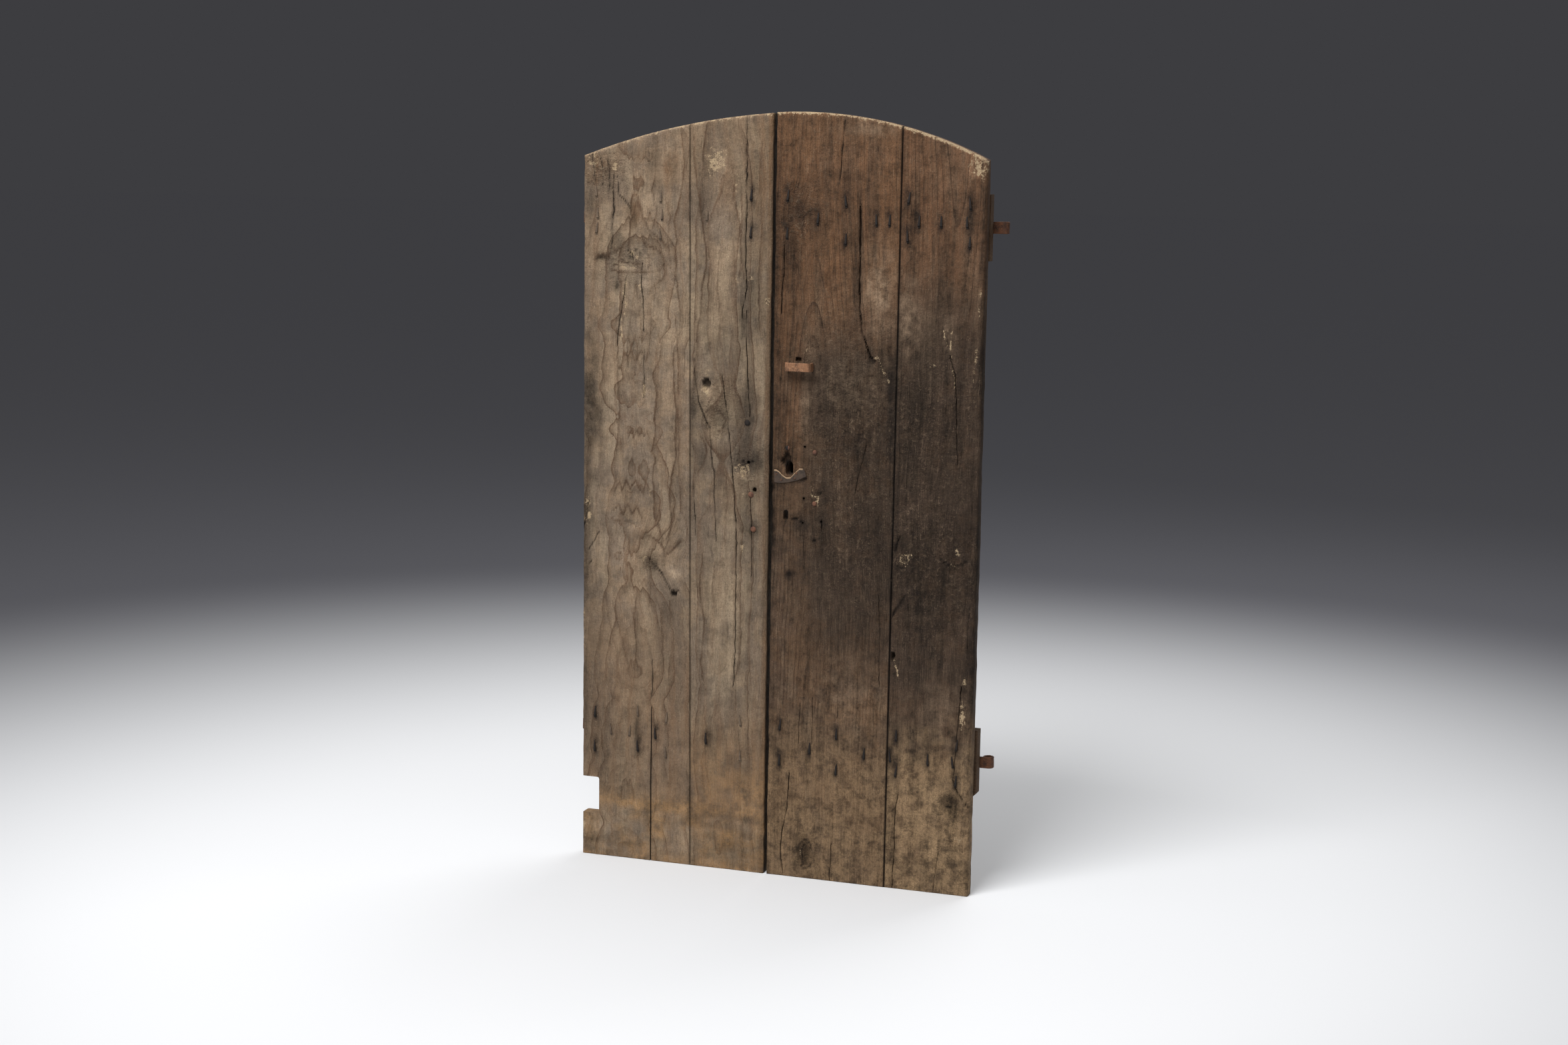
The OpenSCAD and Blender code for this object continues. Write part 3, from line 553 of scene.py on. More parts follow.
    # Pale worn flakes; along the head the pale field also carries a painted highlight.
    worn = field_of(tree, "pale")
    flaked = ranged(tree, sum_of(tree, "MULTIPLY_ADD", worn, 0.3, flaked), 0.94, 1.04)
    chip = product(tree, ranged(tree, worn, 0.02, 0.25, 0.0, 0.9), flaked)
    straw = blended(tree, ranged(tree, fibre, 0.45, 0.62, 0.0, 0.5), paint(184, 161, 129), late)
    colour = blended(tree, chip, toned, straw)
    # The iron field holds iron stains and a painted shadow under the keyhole plate.
    iron_stain_and_shadow = product(tree, field_of(tree, "iron"), ranged(tree, speck, 0.36, 0.52, 0.6, 1.0))
    colour = blended(tree, iron_stain_and_shadow, colour, paint(31, 26, 24))
    # Painted shade, near black, in cracks, holes, keyholes, pits and seams.
    colour = blended(tree, field_of(tree, "crack"), colour, paint(16, 11, 8))
    joined(tree, shader.inputs["Base Color"], colour)
    dry = ranged(tree, fibre, 0.36, 0.64, 0.74, 0.92)
    joined(tree, shader.inputs["Roughness"], sum_of(tree, "MULTIPLY_ADD", rubbed, -0.24, dry))
    shader.inputs["Specular IOR Level"].default_value = 0.14

    height = sum_of(tree, "MULTIPLY_ADD", band, 0.5, fibre)
    height = sum_of(tree, "MULTIPLY_ADD", vein, -0.5, height)
    height = sum_of(tree, "MULTIPLY_ADD", cloud, 1.4, height)
    height = sum_of(tree, "MULTIPLY_ADD", speck, 0.5, height)
    leather = product(tree, skin, -6.5)
    height = sum_of(tree, "MULTIPLY_ADD", grit, leather, height)
    bumped(tree, shader, height, 0.8, 0.0018)
    return made


def opened(u, z, cracks):
    """The cracks at each place: their depth in millimetres, the painted shade that darkens them, and the dirt
    along them.
    """
    deep, dark, dirt = np.zeros(u.shape), np.zeros(u.shape), np.zeros(u.shape)
    for k, (path, half, depth) in enumerate(cracks):
        near = nearness(u, z, path, half * 1.15)
        part = 0.72 + 0.5 * drift(z, u, 21, 60, 200 + k) + 0.25 * drift(z, u, 7, 60, 230 + k)
        part = np.clip(part, 0.2, 1)
        deep = np.maximum(deep, depth * near * part)
        dark = np.maximum(dark, eased(near, 0.02, 0.6) * part)
        dirt = np.maximum(dirt, nearness(u, z, path, 4 + 4 * half) ** 2 * part)
    return deep, dark, dirt


def cracks_of(seed, strokes):
    """Cracks as strayed paths, from strokes that each give a half width, a depth and a drawn path."""
    return [(wander(path, seed + k), half, deep) for k, (half, deep, path) in enumerate(strokes)]


def hollows(u, z, ring, early, pits, bars, cracks):
    """How deep the front lies at soft early wood, broken-out places, bruises under nails, and cracks."""
    hollow = np.maximum(ragged_pits(u, z, pits), 0.8 * iron_stain(u, z, bars)[1])
    hollow = np.maximum(hollow, opened(u, z, cracks)[0])
    return early * (1 - eased(ring % 1.0, 0.6, 0.95)) + hollow


def board(name, low, high, seam, arris, step, sunk, cracks):
    """A worn board under the arched head, and the line of that head. Its seam with the leaf's other board is
    on the side -1 or 1. That edge is read near the head, and the other at mid height."""
    near_head, mid_height = 1800, 900
    ends = (low(mid_height), high(near_head)) if seam > 0 else (low(near_head), high(mid_height))
    inside = 9.0
    front, back = [arched_head(name + "_board", *ends, depth) for depth in (inside, board_t - inside)]
    paths = [(path, half) for path, half, _ in cracks]
    piece = plank(name + "_plank", low, high, 0.0, front, back, arris, step, sunk, board_t, cracks=paths)
    return piece, front


def seen_face(piece, head, highlight_reach=8):
    """A board's places, how far each belongs to the front, a painted highlight along its head where the end
    grain catches the light from above, and how mud lies.
    """
    u, y, z = points_of(piece)
    facing = 1 - eased(y, 8, 22)
    rim = eased(head(u) - z, highlight_reach, 2)
    mud = drift(u, z, 46, 38, 99) + 0.5 * drift(u, z, 15, 13, 98)
    return u, y, z, facing, rim, mud


left_bare = [(-58, 1607), (-50, 1518), (-441, 368), (-443, 290), (-328, 316), (-328, 260), (-281, 308),
             (-151, 326)]


def shows_bare(at_u, at_z):
    """Whether a nail's point on the left leaf shows bare black iron and isn't grey with dust."""
    return any(abs(at_u - u) < 16 and abs(at_z - z) < 30 for u, z in left_bare)


left_points = nail_points("left_batten_nails", "left_strap_nails")
left_bars = [bar for bar in left_points if shows_bare(bar[0], (bar[1] + bar[2]) / 2)]
seam_closed = 0.55
left_wide_low = straight_edge("left_wide_board", -1)
left_wide_high = straight_edge("left_wide_board", 1, seam_closed)
left_wide_cracks = cracks_of(100, [
    (1.3, 6.0, [(-325, 1448), (-328, 1411), (-325, 1385), (-322, 1350), (-320, 1290)]),
    (1.1, 5.0, [(-362, 1432), (-368, 1395), (-373, 1365), (-383, 1304), (-389, 1250)]),
    (2.4, 6.0, [(-304, 748), (-290, 734), (-275, 718), (-266, 706), (-258, 694)]),
    (1.2, 4.0, [(-258, 694), (-250, 680), (-243, 667)]),
    (1.1, 4.0, [(-472, 808), (-466, 845), (-458, 880)]),
    (1.2, 5.0, [(-460, 757), (-445, 782), (-431, 806)]),
    (1.2, 5.0, [(-470, 711), (-450, 734)]),
    (0.9, 3.0, [(-318, 1248), (-320, 1215), (-317, 1180), (-320, 1135)]),
    (0.9, 3.0, [(-294, 405), (-291, 440), (-293, 500)]),
    (1.3, 3.0, [(-398, 1655), (-400, 1620), (-398, 1570), (-401, 1535), (-402, 1500), (-404, 1478)]),
    (1.0, 2.0, [(-388, 1650), (-386, 1608), (-368, 1593), (-355, 1574)]),
    (1.0, 2.0, [(-452, 1702), (-448, 1660), (-440, 1622)]),
    (1.0, 2.0, [(-432, 1695), (-425, 1655), (-431, 1610)]),
    (1.0, 2.0, [(-414, 1696), (-408, 1650), (-412, 1600)]),
    (1.6, 3.0, [(-362, 1480), (-352, 1470), (-346, 1452)]),
])
left_wide_figure = [
    (3.2, 0.75, [(-286, 1290), (-274, 1256), (-280, 1225), (-296, 1190), (-286, 1144), (-292, 1094),
                 (-289, 1044), (-299, 1006), (-289, 988), (-296, 950), (-292, 906), (-289, 850),
                 (-280, 819), (-264, 769)]),
    (3.0, 0.6, [(-308, 1362), (-302, 1312), (-305, 1262), (-316, 1212)]),
    (3.4, 0.75, [(-230, 1762), (-221, 1681), (-233, 1594), (-246, 1550), (-239, 1506), (-242, 1450),
                 (-236, 1394), (-227, 1337), (-230, 1281), (-246, 1237), (-242, 1150), (-236, 1106),
                 (-239, 1044), (-236, 994), (-246, 950), (-252, 906), (-249, 862), (-246, 831), (-255, 794),
                 (-264, 762)]),
    (2.8, 0.65, [(-244, 1340), (-236, 1281), (-230, 1200), (-233, 1137), (-230, 1044), (-230, 950),
                 (-224, 906), (-222, 862), (-208, 844), (-205, 819), (-211, 794)]),
    (2.8, 0.55, [(-268, 1600), (-256, 1560), (-262, 1510), (-254, 1440)]),
    (3.1, 0.47, [(-392, 1320), (-386, 1250), (-386, 1180), (-380, 1100), (-385, 1030), (-396, 960)]),
    (3.1, 0.68, [(-358, 1036), (-349, 1054), (-344, 1036), (-337, 1055), (-332, 1038), (-325, 1054),
                 (-319, 1040),
                (-311, 1051), (-304, 1034)]),
    (3.4, 0.68, [(-394, 902), (-380, 927), (-373, 906), (-362, 932), (-352, 912), (-340, 934), (-330, 915),
                 (-318, 904)]),
    (3.4, 0.68, [(-398, 856), (-381, 874), (-371, 849), (-358, 875), (-347, 852), (-335, 870),
                 (-322, 844)]),
    (4.0, 0.7, [(-264, 756), (-268, 779), (-291, 798), (-318, 810), (-345, 829), (-372, 837), (-391, 833),
                (-402, 841)]),
    (3.6, 0.7, [(-264, 756), (-252, 764), (-241, 775), (-226, 790), (-210, 802)]),
    (3.0, 0.6, [(-264, 787), (-272, 806), (-279, 829), (-287, 860)]),
    (3.0, 0.6, [(-248, 860), (-245, 837), (-248, 822), (-260, 795)]),
    (2.0, 0.55, oval(-381, 748, 10, 9)),
    (2.6, 0.5, [(-302, 629), (-298, 683), (-314, 698), (-330, 670), (-348, 637)]),
    (2.9, 0.54, [(-347, 1246), (-336, 1222), (-327, 1245), (-316, 1220), (-305, 1240)]),
    (3.1, 0.54, [(-341, 1403), (-352, 1330), (-359, 1270), (-363, 1208)]),
    (3.1, 0.54, [(-341, 1403), (-331, 1330), (-325, 1270), (-319, 1212)]),
    (3.4, 0.85, [(-254, 1440), (-257, 1462), (-261, 1489), (-268, 1497), (-284, 1510), (-297, 1520),
                 (-311, 1532), (-322, 1555), (-328, 1578), (-336, 1605), (-345, 1611), (-353, 1601),
                 (-355, 1581), (-353, 1555), (-357, 1520), (-361, 1489), (-358, 1472)]),
    (2.8, 0.85, [(-332, 1543), (-326, 1512), (-322, 1493), (-318, 1496), (-315, 1488), (-310, 1492),
                 (-306, 1485), (-301, 1490), (-297, 1483), (-291, 1486), (-284, 1480), (-276, 1470),
                 (-270, 1451), (-268, 1428), (-276, 1412), (-288, 1403), (-303, 1393), (-307, 1378)]),
    (5.0, 0.9, [(-440, 1456), (-434, 1466), (-430, 1460), (-424, 1470), (-420, 1460), (-414, 1468),
                (-409, 1462), (-407, 1474)]),
    (3.0, 0.8, [(-400, 1470), (-394, 1480), (-390, 1472), (-384, 1484), (-380, 1478), (-374, 1490),
                (-366, 1500)]),
    (5.0, 0.7, [(-404, 1432), (-385, 1428), (-366, 1426), (-345, 1427), (-325, 1428), (-300, 1430),
                (-275, 1436)]),
    (3.5, 0.7, [(-404, 1446), (-390, 1444), (-378, 1449), (-362, 1450), (-345, 1446), (-330, 1447)]),
    (2.6, 0.54, [(-398, 640), (-377, 560), (-354, 480), (-346, 430)]),
    (2.6, 0.54, [(-330, 692), (-341, 600), (-335, 520), (-341, 430)]),
    (2.6, 0.54, [(-302, 700), (-272, 620), (-265, 540), (-284, 470), (-302, 430)]),
    (2.6, 0.47, [(-250, 650), (-240, 560), (-250, 480), (-246, 400)]),
    (2.6, 0.47, [(-420, 690), (-408, 600), (-388, 520), (-380, 450)]),
    (2.6, 0.41, [(-240, 380), (-252, 320), (-244, 250), (-250, 180)]),
    (2.9, 0.47, [(-300, 1700), (-292, 1660), (-302, 1620), (-290, 1570), (-300, 1530)]),
]
left_wide_pits = [(-239, 666, 9, 7, 8), (-319, 1158, 5, 15, 2.5), (-386, 1394, 9, 13, 1.2),
                  (-347, 1468, 18, 12, 1.8), (-229, 671, 5, 4, 5), (-452, 1655, 20, 34, 1.5),
                  (-418, 1690, 26, 16, 1.2), (-466, 860, 6, 26, 2.5), (-468, 735, 7, 20, 3)]


def left_wide_grain(u, y, z):
    """Ring number and place across the grain: flat-sawn, with flames and islands over its wavy heart."""
    a = u + 2.6 * drift(u, z, 34, 26, 11) + 7.0 * drift(u, z, 110, 150, 12) + 1.2 * drift(u, z, 12, 9, 15)
    knot = np.exp(-(((u + 290) / 85) ** 2) - ((z - 735) / 75) ** 2)
    a = a + 46 * knot
    heart = -340 + 20 * drift(0 * z, z, 1, 300, 13)
    cover = 52 + 0.035 * (z - 640) + 26 * drift(0 * z, z, 1, 78, 14)
    cover = cover + 12 * drift(0 * z, z, 1, 31, 34) + 0.5 * y
    cover = cover + 34 * eased(z, 1470, 1630) - 34 * eased(z, 1640, 1760)
    teeth = 7.0 * drift(u, z, 6, 60, 16) * np.exp(-(((u - heart) / 50) ** 2))
    return np.hypot(a - heart, cover + teeth) / 27, a


def back_grain(ring, u, y, z, heart, seed):
    """The ring number with the plainer upright grain of the board's back mixed in behind its middle."""
    plain = np.hypot(u - heart + 6 * drift(u, z, 60, 330, seed),
                     34 + 9 * drift(0 * z, z, 1, 420, seed + 1)) / 13
    behind = eased(y, 14, 26)
    return ring * (1 - behind) + plain * behind


def left_wide_sunk(u, z):
    ring, a = left_wide_grain(u, 0, z)
    wave = 0.5 * (1 + drift(u, z, 70, 210, 63)) + 0.22 * (1 + drift(a, z, 3.2, 120, 64))
    return wave + hollows(u, z, ring, 0.35, left_wide_pits, left_bars, left_wide_cracks)


left_wide, left_wide_head = board(
    "left_wide", left_wide_low, left_wide_high, seam=1, arris=(4.5, 2.6, 3.0, 5.0), step=(2.3, 5.2),
    sunk=left_wide_sunk, cracks=left_wide_cracks)
notch = np.array([(-500, 104), (-434, 104), (-431.5, 105.5), (-430, 109), (-430, 191), (-431.5, 194.5),
                  (-434, 196), (-500, 196)], float)
split = np.array([(-295.4, -20), (-292.6, -20), (-292.8, 90), (-293.4, 200), (-293.1, 300), (-293.9, 380),
                  (-294.9, 300), (-295.2, 200), (-294.4, 90)], float)
cut_out(left_wide, [(notch, 60), (split, 60)])
u, y, z, facing, rim, mud = seen_face(left_wide, left_wide_head)
ring, across = left_wide_grain(u, y, z)
ring = back_grain(ring, u, y, z, -330, 111)
# Painted shade, near black: in the two deep pits, along the cracks and the split at the foot, and in the
# seam.
crack = 0.9 * eased(ragged_pits(u, z, left_wide_pits[:2]), 1.2, 7)
_, crack_shade, open_dirt = opened(u, z, left_wide_cracks)
crack = np.maximum.reduce([crack, crack_shade, painted_seam_shade(u, left_wide_high(z), 0.42)])
split_line = np.interp(z, split[1:6, 1], [-294, -293.6, -294.3, -294.0, -293.9])
crack = np.maximum(crack, eased(2.1 - abs(u - split_line), 0, 1.6) * (z < 384))
left_wide_wood = aged_wood(
    "weathered_wide_plank", bright=paint(170, 150, 124), bare=paint(143, 122, 100),
    silver=paint(125, 109, 93),
    late=paint(92, 70, 53), deep=paint(54, 43, 35), red=paint(114, 88, 65), hand=paint(80, 68, 56),
    soil=paint(164, 128, 88))
left_wide_shades = [
    (-351, 1575, 12, 36, 0.3), (-424, 1463, 18, 9, 0.6), (-372, 1498, 42, 22, 0.3),
    (-297, 1677, 24, 24, 0.3), (-341, 1479, 4, 4, 0.8), (-356, 1462, 5, 4, 0.7), (-330, 1470, 4, 9, 0.6),
    (-282, 1350, 8, 70, 0.15), (-288, 1510, 24, 20, 0.2), (-388, 1396, 9, 14, 0.75),
    (-455, 1600, 20, 50, 0.3), (-410, 1640, 40, 46, 0.15), (-462, 1110, 24, 150, 0.6),
    (-472, 820, 18, 260, 0.45), (-302, 736, 22, 20, 0.5), (-240, 1000, 14, 110, 0.15),
    (-329, 312, 10, 46, 0.6), (-440, 260, 60, 60, 0.15), (-452, 36, 40, 16, 0.4), (-370, 30, 50, 12, 0.25),
    (-385, 205, 60, 40, 0.18), (-340, 975, 24, 14, 0.2), (-350, 910, 36, 10, 0.25),
    (-352, 855, 26, 12, 0.25), (-255, 640, 34, 40, 0.25), (-474, 400, 14, 140, 0.35),
    (-306, 800, 24, 10, 0.25), (-225, 790, 12, 16, 0.25), (-330, 1700, 44, 30, 0.24),
    (-440, 560, 28, 100, 0.16), (-450, 1700, 16, 26, 0.15), (-248, 1680, 18, 36, 0.08),
]
left_wide_lights = [
    (-368, 1438, 25, 7, 0.35), (-322, 1415, 16, 32, 0.2), (-250, 1280, 40, 260, 0.08),
    (-372, 748, 46, 38, 0.25), (-236, 716, 22, 16, 0.3), (-330, 1300, 16, 60, 0.1),
    (-320, 640, 60, 60, 0.06), (-300, 1600, 30, 60, 0.12), (-340, 818, 20, 8, 0.3), (-272, 770, 8, 10, 0.2),
    (-330, 1100, 36, 50, 0.15), (-290, 1000, 30, 60, 0.08), (-266, 1600, 16, 26, 0.15),
]
finish_mesh(left_wide, {
    "ring": ring, "across": across, "crack": crack * facing,
    "iron": 0.85 * iron_stain(u, z, left_bars)[0] * facing,
    # 0.6 * rim here and 0.3 * rim in the tone are a painted highlight along the head.
    "pale": facing * np.maximum(0.6 * rim, patches(u, z, [
        (-319, 1146, 5, 12, 0.9), (-300, 905, 4, 22, 0.4), (-462, 850, 7, 34, 0.7),
        (-452, 1690, 16, 24, 0.6), (-366, 1438, 24, 7, 0.3), (-350, 1472, 9, 6, 0.9),
        (-336, 1462, 8, 4, 0.9), (-472, 60, 8, 30, 0.5), (-368, 1370, 5, 40, 0.6), (-378, 1300, 4, 40, 0.5),
        (-474, 560, 5, 40, 0.5), (-340, 820, 22, 7, 0.5), (-316, 745, 5, 14, 0.5), (-396, 1668, 9, 22, 0.7),
        (-330, 1400, 4, 34, 0.5)])),
    "warm": 0.55 * eased(z, 720, 420) * eased(z, 60, 200) + np.maximum(
        0.2 * eased(z, 1480, 1650), facing * patches(u, z, [
            (-249, 1675, 22, 46, 1.0), (-435, 1668, 42, 40, 1.0), (-345, 1575, 12, 36, 0.9),
            (-450, 1400, 30, 160, 0.35), (-424, 1600, 30, 40, 0.4)])),
    "grime": facing * np.maximum(0.6 * open_dirt, patches(u, z, [
        (-445, 1110, 22, 120, 0.6), (-450, 640, 40, 160, 0.3), (-300, 735, 60, 36, 0.3),
        (-380, 1440, 60, 26, 0.35), (-250, 560, 70, 130, 0.25), (-440, 330, 60, 110, 0.3),
        (-470, 850, 26, 420, 0.5), (-450, 1580, 20, 40, 0.4)])),
    "soil": np.clip(np.maximum(np.exp(-(((z - 142 + 14 * mud) / 24) ** 2)) * (0.75 + 0.4 * mud),
                               (0.45 + 0.5 * mud) * eased(z + 10 * mud, 150, 110)), 0, 1),
    "tone": facing * (0.3 * rim + 1.6 * patches(u, z, left_wide_lights) + 0.08 * drift(u, z, 26, 44, 105)
                      + 0.2 * drift(u, z, 48, 13, 107) * eased(z, 250, 130)
                      - 1.2 * patches(u, z, left_wide_shades)),
    "figure": facing * np.minimum(1.75 * drawn_lines(u, z, left_wide_figure, 400, 9.0), 0.95),
    "haze": facing * patches(u, z, [(-300, 1330, 60, 120, 0.3), (-368, 1438, 22, 7, 0.4),
                                    (-236, 716, 22, 16, 0.3)]),
    "rough": 0.25 + facing * patches(u, z, [(-430, 1660, 50, 50, 1.0), (-370, 1450, 70, 40, 0.8),
                                            (-302, 736, 26, 26, 1.2)]),
}, left_wide_wood)
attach(left_wide, "left_leaf")
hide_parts("left_wide_board")


# Left leaf, narrow board: the plank at the meeting side, of the same timber, with a broken-out knot, long
# drying cracks and two nail holes near its edge. It butts against the wide board without a tongue.
left_narrow_low = straight_edge("left_narrow_board", -1, seam_closed)
meeting_closed = 0.9
left_narrow_high = straight_edge("left_narrow_board", 1, meeting_closed)
left_narrow_cracks = cracks_of(130, [
    (1.4, 6.0, [(-68, 1792), (-67, 1600), (-68, 1450), (-64, 1400), (-68, 1373), (-73, 1350), (-75, 1330)]),
    (1.2, 5.0, [(-64, 1345), (-63, 1300), (-62, 1250), (-58, 1181), (-52, 1104)]),
    (1.3, 5.0, [(-123, 1196), (-106, 1080), (-98, 1005), (-89, 925), (-85, 859), (-82, 798), (-82, 538),
                (-85, 453)]),
    (1.0, 4.0, [(-47, 909), (-45, 850), (-43, 721)]),
    (1.1, 4.0, [(-193, 1232), (-190, 1180), (-180, 1130), (-165, 1095), (-153, 1068)]),
    (0.9, 3.0, [(-152, 1072), (-146, 990), (-138, 955), (-139, 900), (-135, 850), (-133, 800)]),
    (0.9, 3.0, [(-191, 940), (-188, 880), (-184, 810)]),
    (1.2, 2.5, [(-86, 994), (-76, 998), (-62, 994), (-46, 995), (-36, 997)]),
])
left_narrow_figure = [
    (3.4, 0.8, [(-199, 1750), (-196, 1687), (-189, 1631), (-180, 1581), (-174, 1537), (-167, 1500),
                (-164, 1450), (-174, 1400), (-177, 1337), (-186, 1300), (-186, 1237), (-192, 1181)]),
    (3.0, 0.65, [(-77, 1575), (-83, 1531), (-77, 1487), (-84, 1425)]),
    (3.1, 0.54, [(-84, 1640), (-76, 1560), (-82, 1500), (-72, 1420)]),
    (2.9, 0.54, [(-108, 1692), (-96, 1650), (-102, 1600)]),
    (3.4, 0.61, [(-166, 772), (-174, 690), (-160, 600), (-169, 500), (-157, 440)]),
    (2.9, 0.54, [(-134, 762), (-141, 680), (-135, 600), (-140, 520)]),
    (2.9, 0.61, [(-92, 692), (-72, 656), (-64, 600), (-70, 530), (-79, 480)]),
    (2.9, 0.47, [(-45, 652), (-51, 560), (-42, 470), (-49, 380)]),
    (3.1, 0.54, [(-30, 1760), (-36, 1650), (-28, 1540), (-36, 1430), (-30, 1300)]),
    (2.9, 0.54, [(-130, 1500), (-138, 1400), (-128, 1320), (-136, 1240), (-146, 1205)]),
    (2.9, 0.54, [(-100, 1300), (-104, 1220), (-92, 1140), (-80, 1060), (-76, 960)]),
    (3.9, 0.68, [(-184, 1060), (-168, 1040), (-158, 1012), (-166, 985), (-182, 960)]),
    (3.9, 0.61, [(-150, 1120), (-128, 1108), (-112, 1090), (-120, 1066), (-140, 1060)]),
    (2.9, 0.47, [(-112, 980), (-106, 900), (-112, 820), (-104, 740)]),
    (2.9, 0.47, [(-160, 400), (-150, 330), (-164, 260), (-156, 190)]),
]
left_narrow_pits = [(-162, 1174, 12, 13, 9), (-64, 978, 13, 9, 2.6), (-67, 826, 6, 6, 3.2),
                    (-14, 1366, 9, 9, 3), (-66, 962, 5, 9, 2.5), (-156, 1068, 7, 14, 3),
                    (-84, 1078, 3, 14, 1.6), (-68, 784, 3, 12, 1.6)]


def left_narrow_grain(u, y, z):
    """Ring number and place across the grain: nearly upright lines that part round the lost knot."""
    a = u + 2.6 * drift(u, z, 34, 28, 17) + 8.0 * drift(u, z, 80, 150, 18) + 1.2 * drift(u, z, 12, 9, 19)
    round_knot = np.exp(-(((z - 1150) / 105) ** 2))
    a = a - 20 * round_knot * np.tanh((u + 162) / 30)
    meet = np.exp(-(((z - 770) / 120) ** 2) - ((u + 140) / 40) ** 2)
    cover = 30 + 0.03 * (z - 300) + 16 * drift(0 * z, z, 1, 90, 35) + 14 * meet + 0.5 * y
    return np.hypot(a + 122, cover) / 23, a


def left_narrow_sunk(u, z):
    ring, a = left_narrow_grain(u, 0, z)
    wave = 0.5 * (1 + drift(u, z, 70, 210, 65)) + 0.22 * (1 + drift(a, z, 3.0, 110, 66))
    return wave + hollows(u, z, ring, 0.3, left_narrow_pits, left_bars, left_narrow_cracks)


left_narrow, left_narrow_head = board(
    "left_narrow", left_narrow_low, left_narrow_high, seam=-1, arris=(2.6, 5.5, 3.0, 5.0), step=(2.2, 5.2),
    sunk=left_narrow_sunk, cracks=left_narrow_cracks)
cut_out(left_narrow, [(ragged_round(-38, 929, 5, 5.4, 5), 16), (ragged_round(-54, 993, 3.6, 3.8, 6), 60)])
u, y, z, facing, rim, mud = seen_face(left_narrow, left_narrow_head)
ring, across = left_narrow_grain(u, y, z)
ring = back_grain(ring, u, y, z, -60, 113)
# Painted shade, near black: in the deep pits and the two nail holes, along the cracks, and in the seam.
crack = 0.85 * eased(ragged_pits(u, z, left_narrow_pits[:3]), 2.2, 7)
crack = np.maximum(crack, patches(u, z, [(-38, 929, 6, 6.5, 1.0), (-54, 993, 5, 5, 1.0)]))
_, crack_shade, open_dirt = opened(u, z, left_narrow_cracks)
crack = np.maximum.reduce([crack, crack_shade, painted_seam_shade(u, left_narrow_low(z), 0.42)])
left_narrow_wood = aged_wood(
    "weathered_narrow_plank", bright=paint(162, 143, 118), bare=paint(134, 115, 94),
    silver=paint(116, 101, 86),
    late=paint(90, 69, 53), deep=paint(52, 42, 35), red=paint(116, 89, 65), hand=paint(78, 67, 56),
    soil=paint(158, 122, 83))
left_narrow_shades = [
    (-45, 1650, 30, 110, 0.25), (-44, 1400, 26, 130, 0.28), (-58, 1110, 18, 100, 0.45),
    (-136, 1100, 32, 24, 0.3), (-50, 992, 30, 22, 0.5), (-168, 1000, 24, 34, 0.3), (-40, 838, 15, 16, 0.5),
    (-8, 900, 9, 600, 0.12), (-70, 1330, 10, 60, 0.45), (-110, 1290, 70, 60, 0.15),
    (-192, 1120, 8, 60, 0.4), (-170, 1710, 24, 60, 0.2), (-66, 870, 20, 60, 0.25),
    (-150, 320, 16, 16, 0.35), (-100, 50, 80, 40, 0.15), (-176, 1600, 12, 60, 0.25),
    (-130, 990, 12, 60, 0.25),
]
left_narrow_lights = [
    (-160, 1152, 20, 22, 0.3), (-128, 1645, 14, 50, 0.25), (-66, 960, 10, 12, 0.3),
    (-110, 640, 50, 150, 0.12), (-125, 1490, 36, 90, 0.3), (-72, 660, 10, 60, 0.2),
    (-30, 560, 16, 100, 0.12), (-110, 940, 70, 100, 0.1), (-18, 520, 12, 140, 0.18),
]
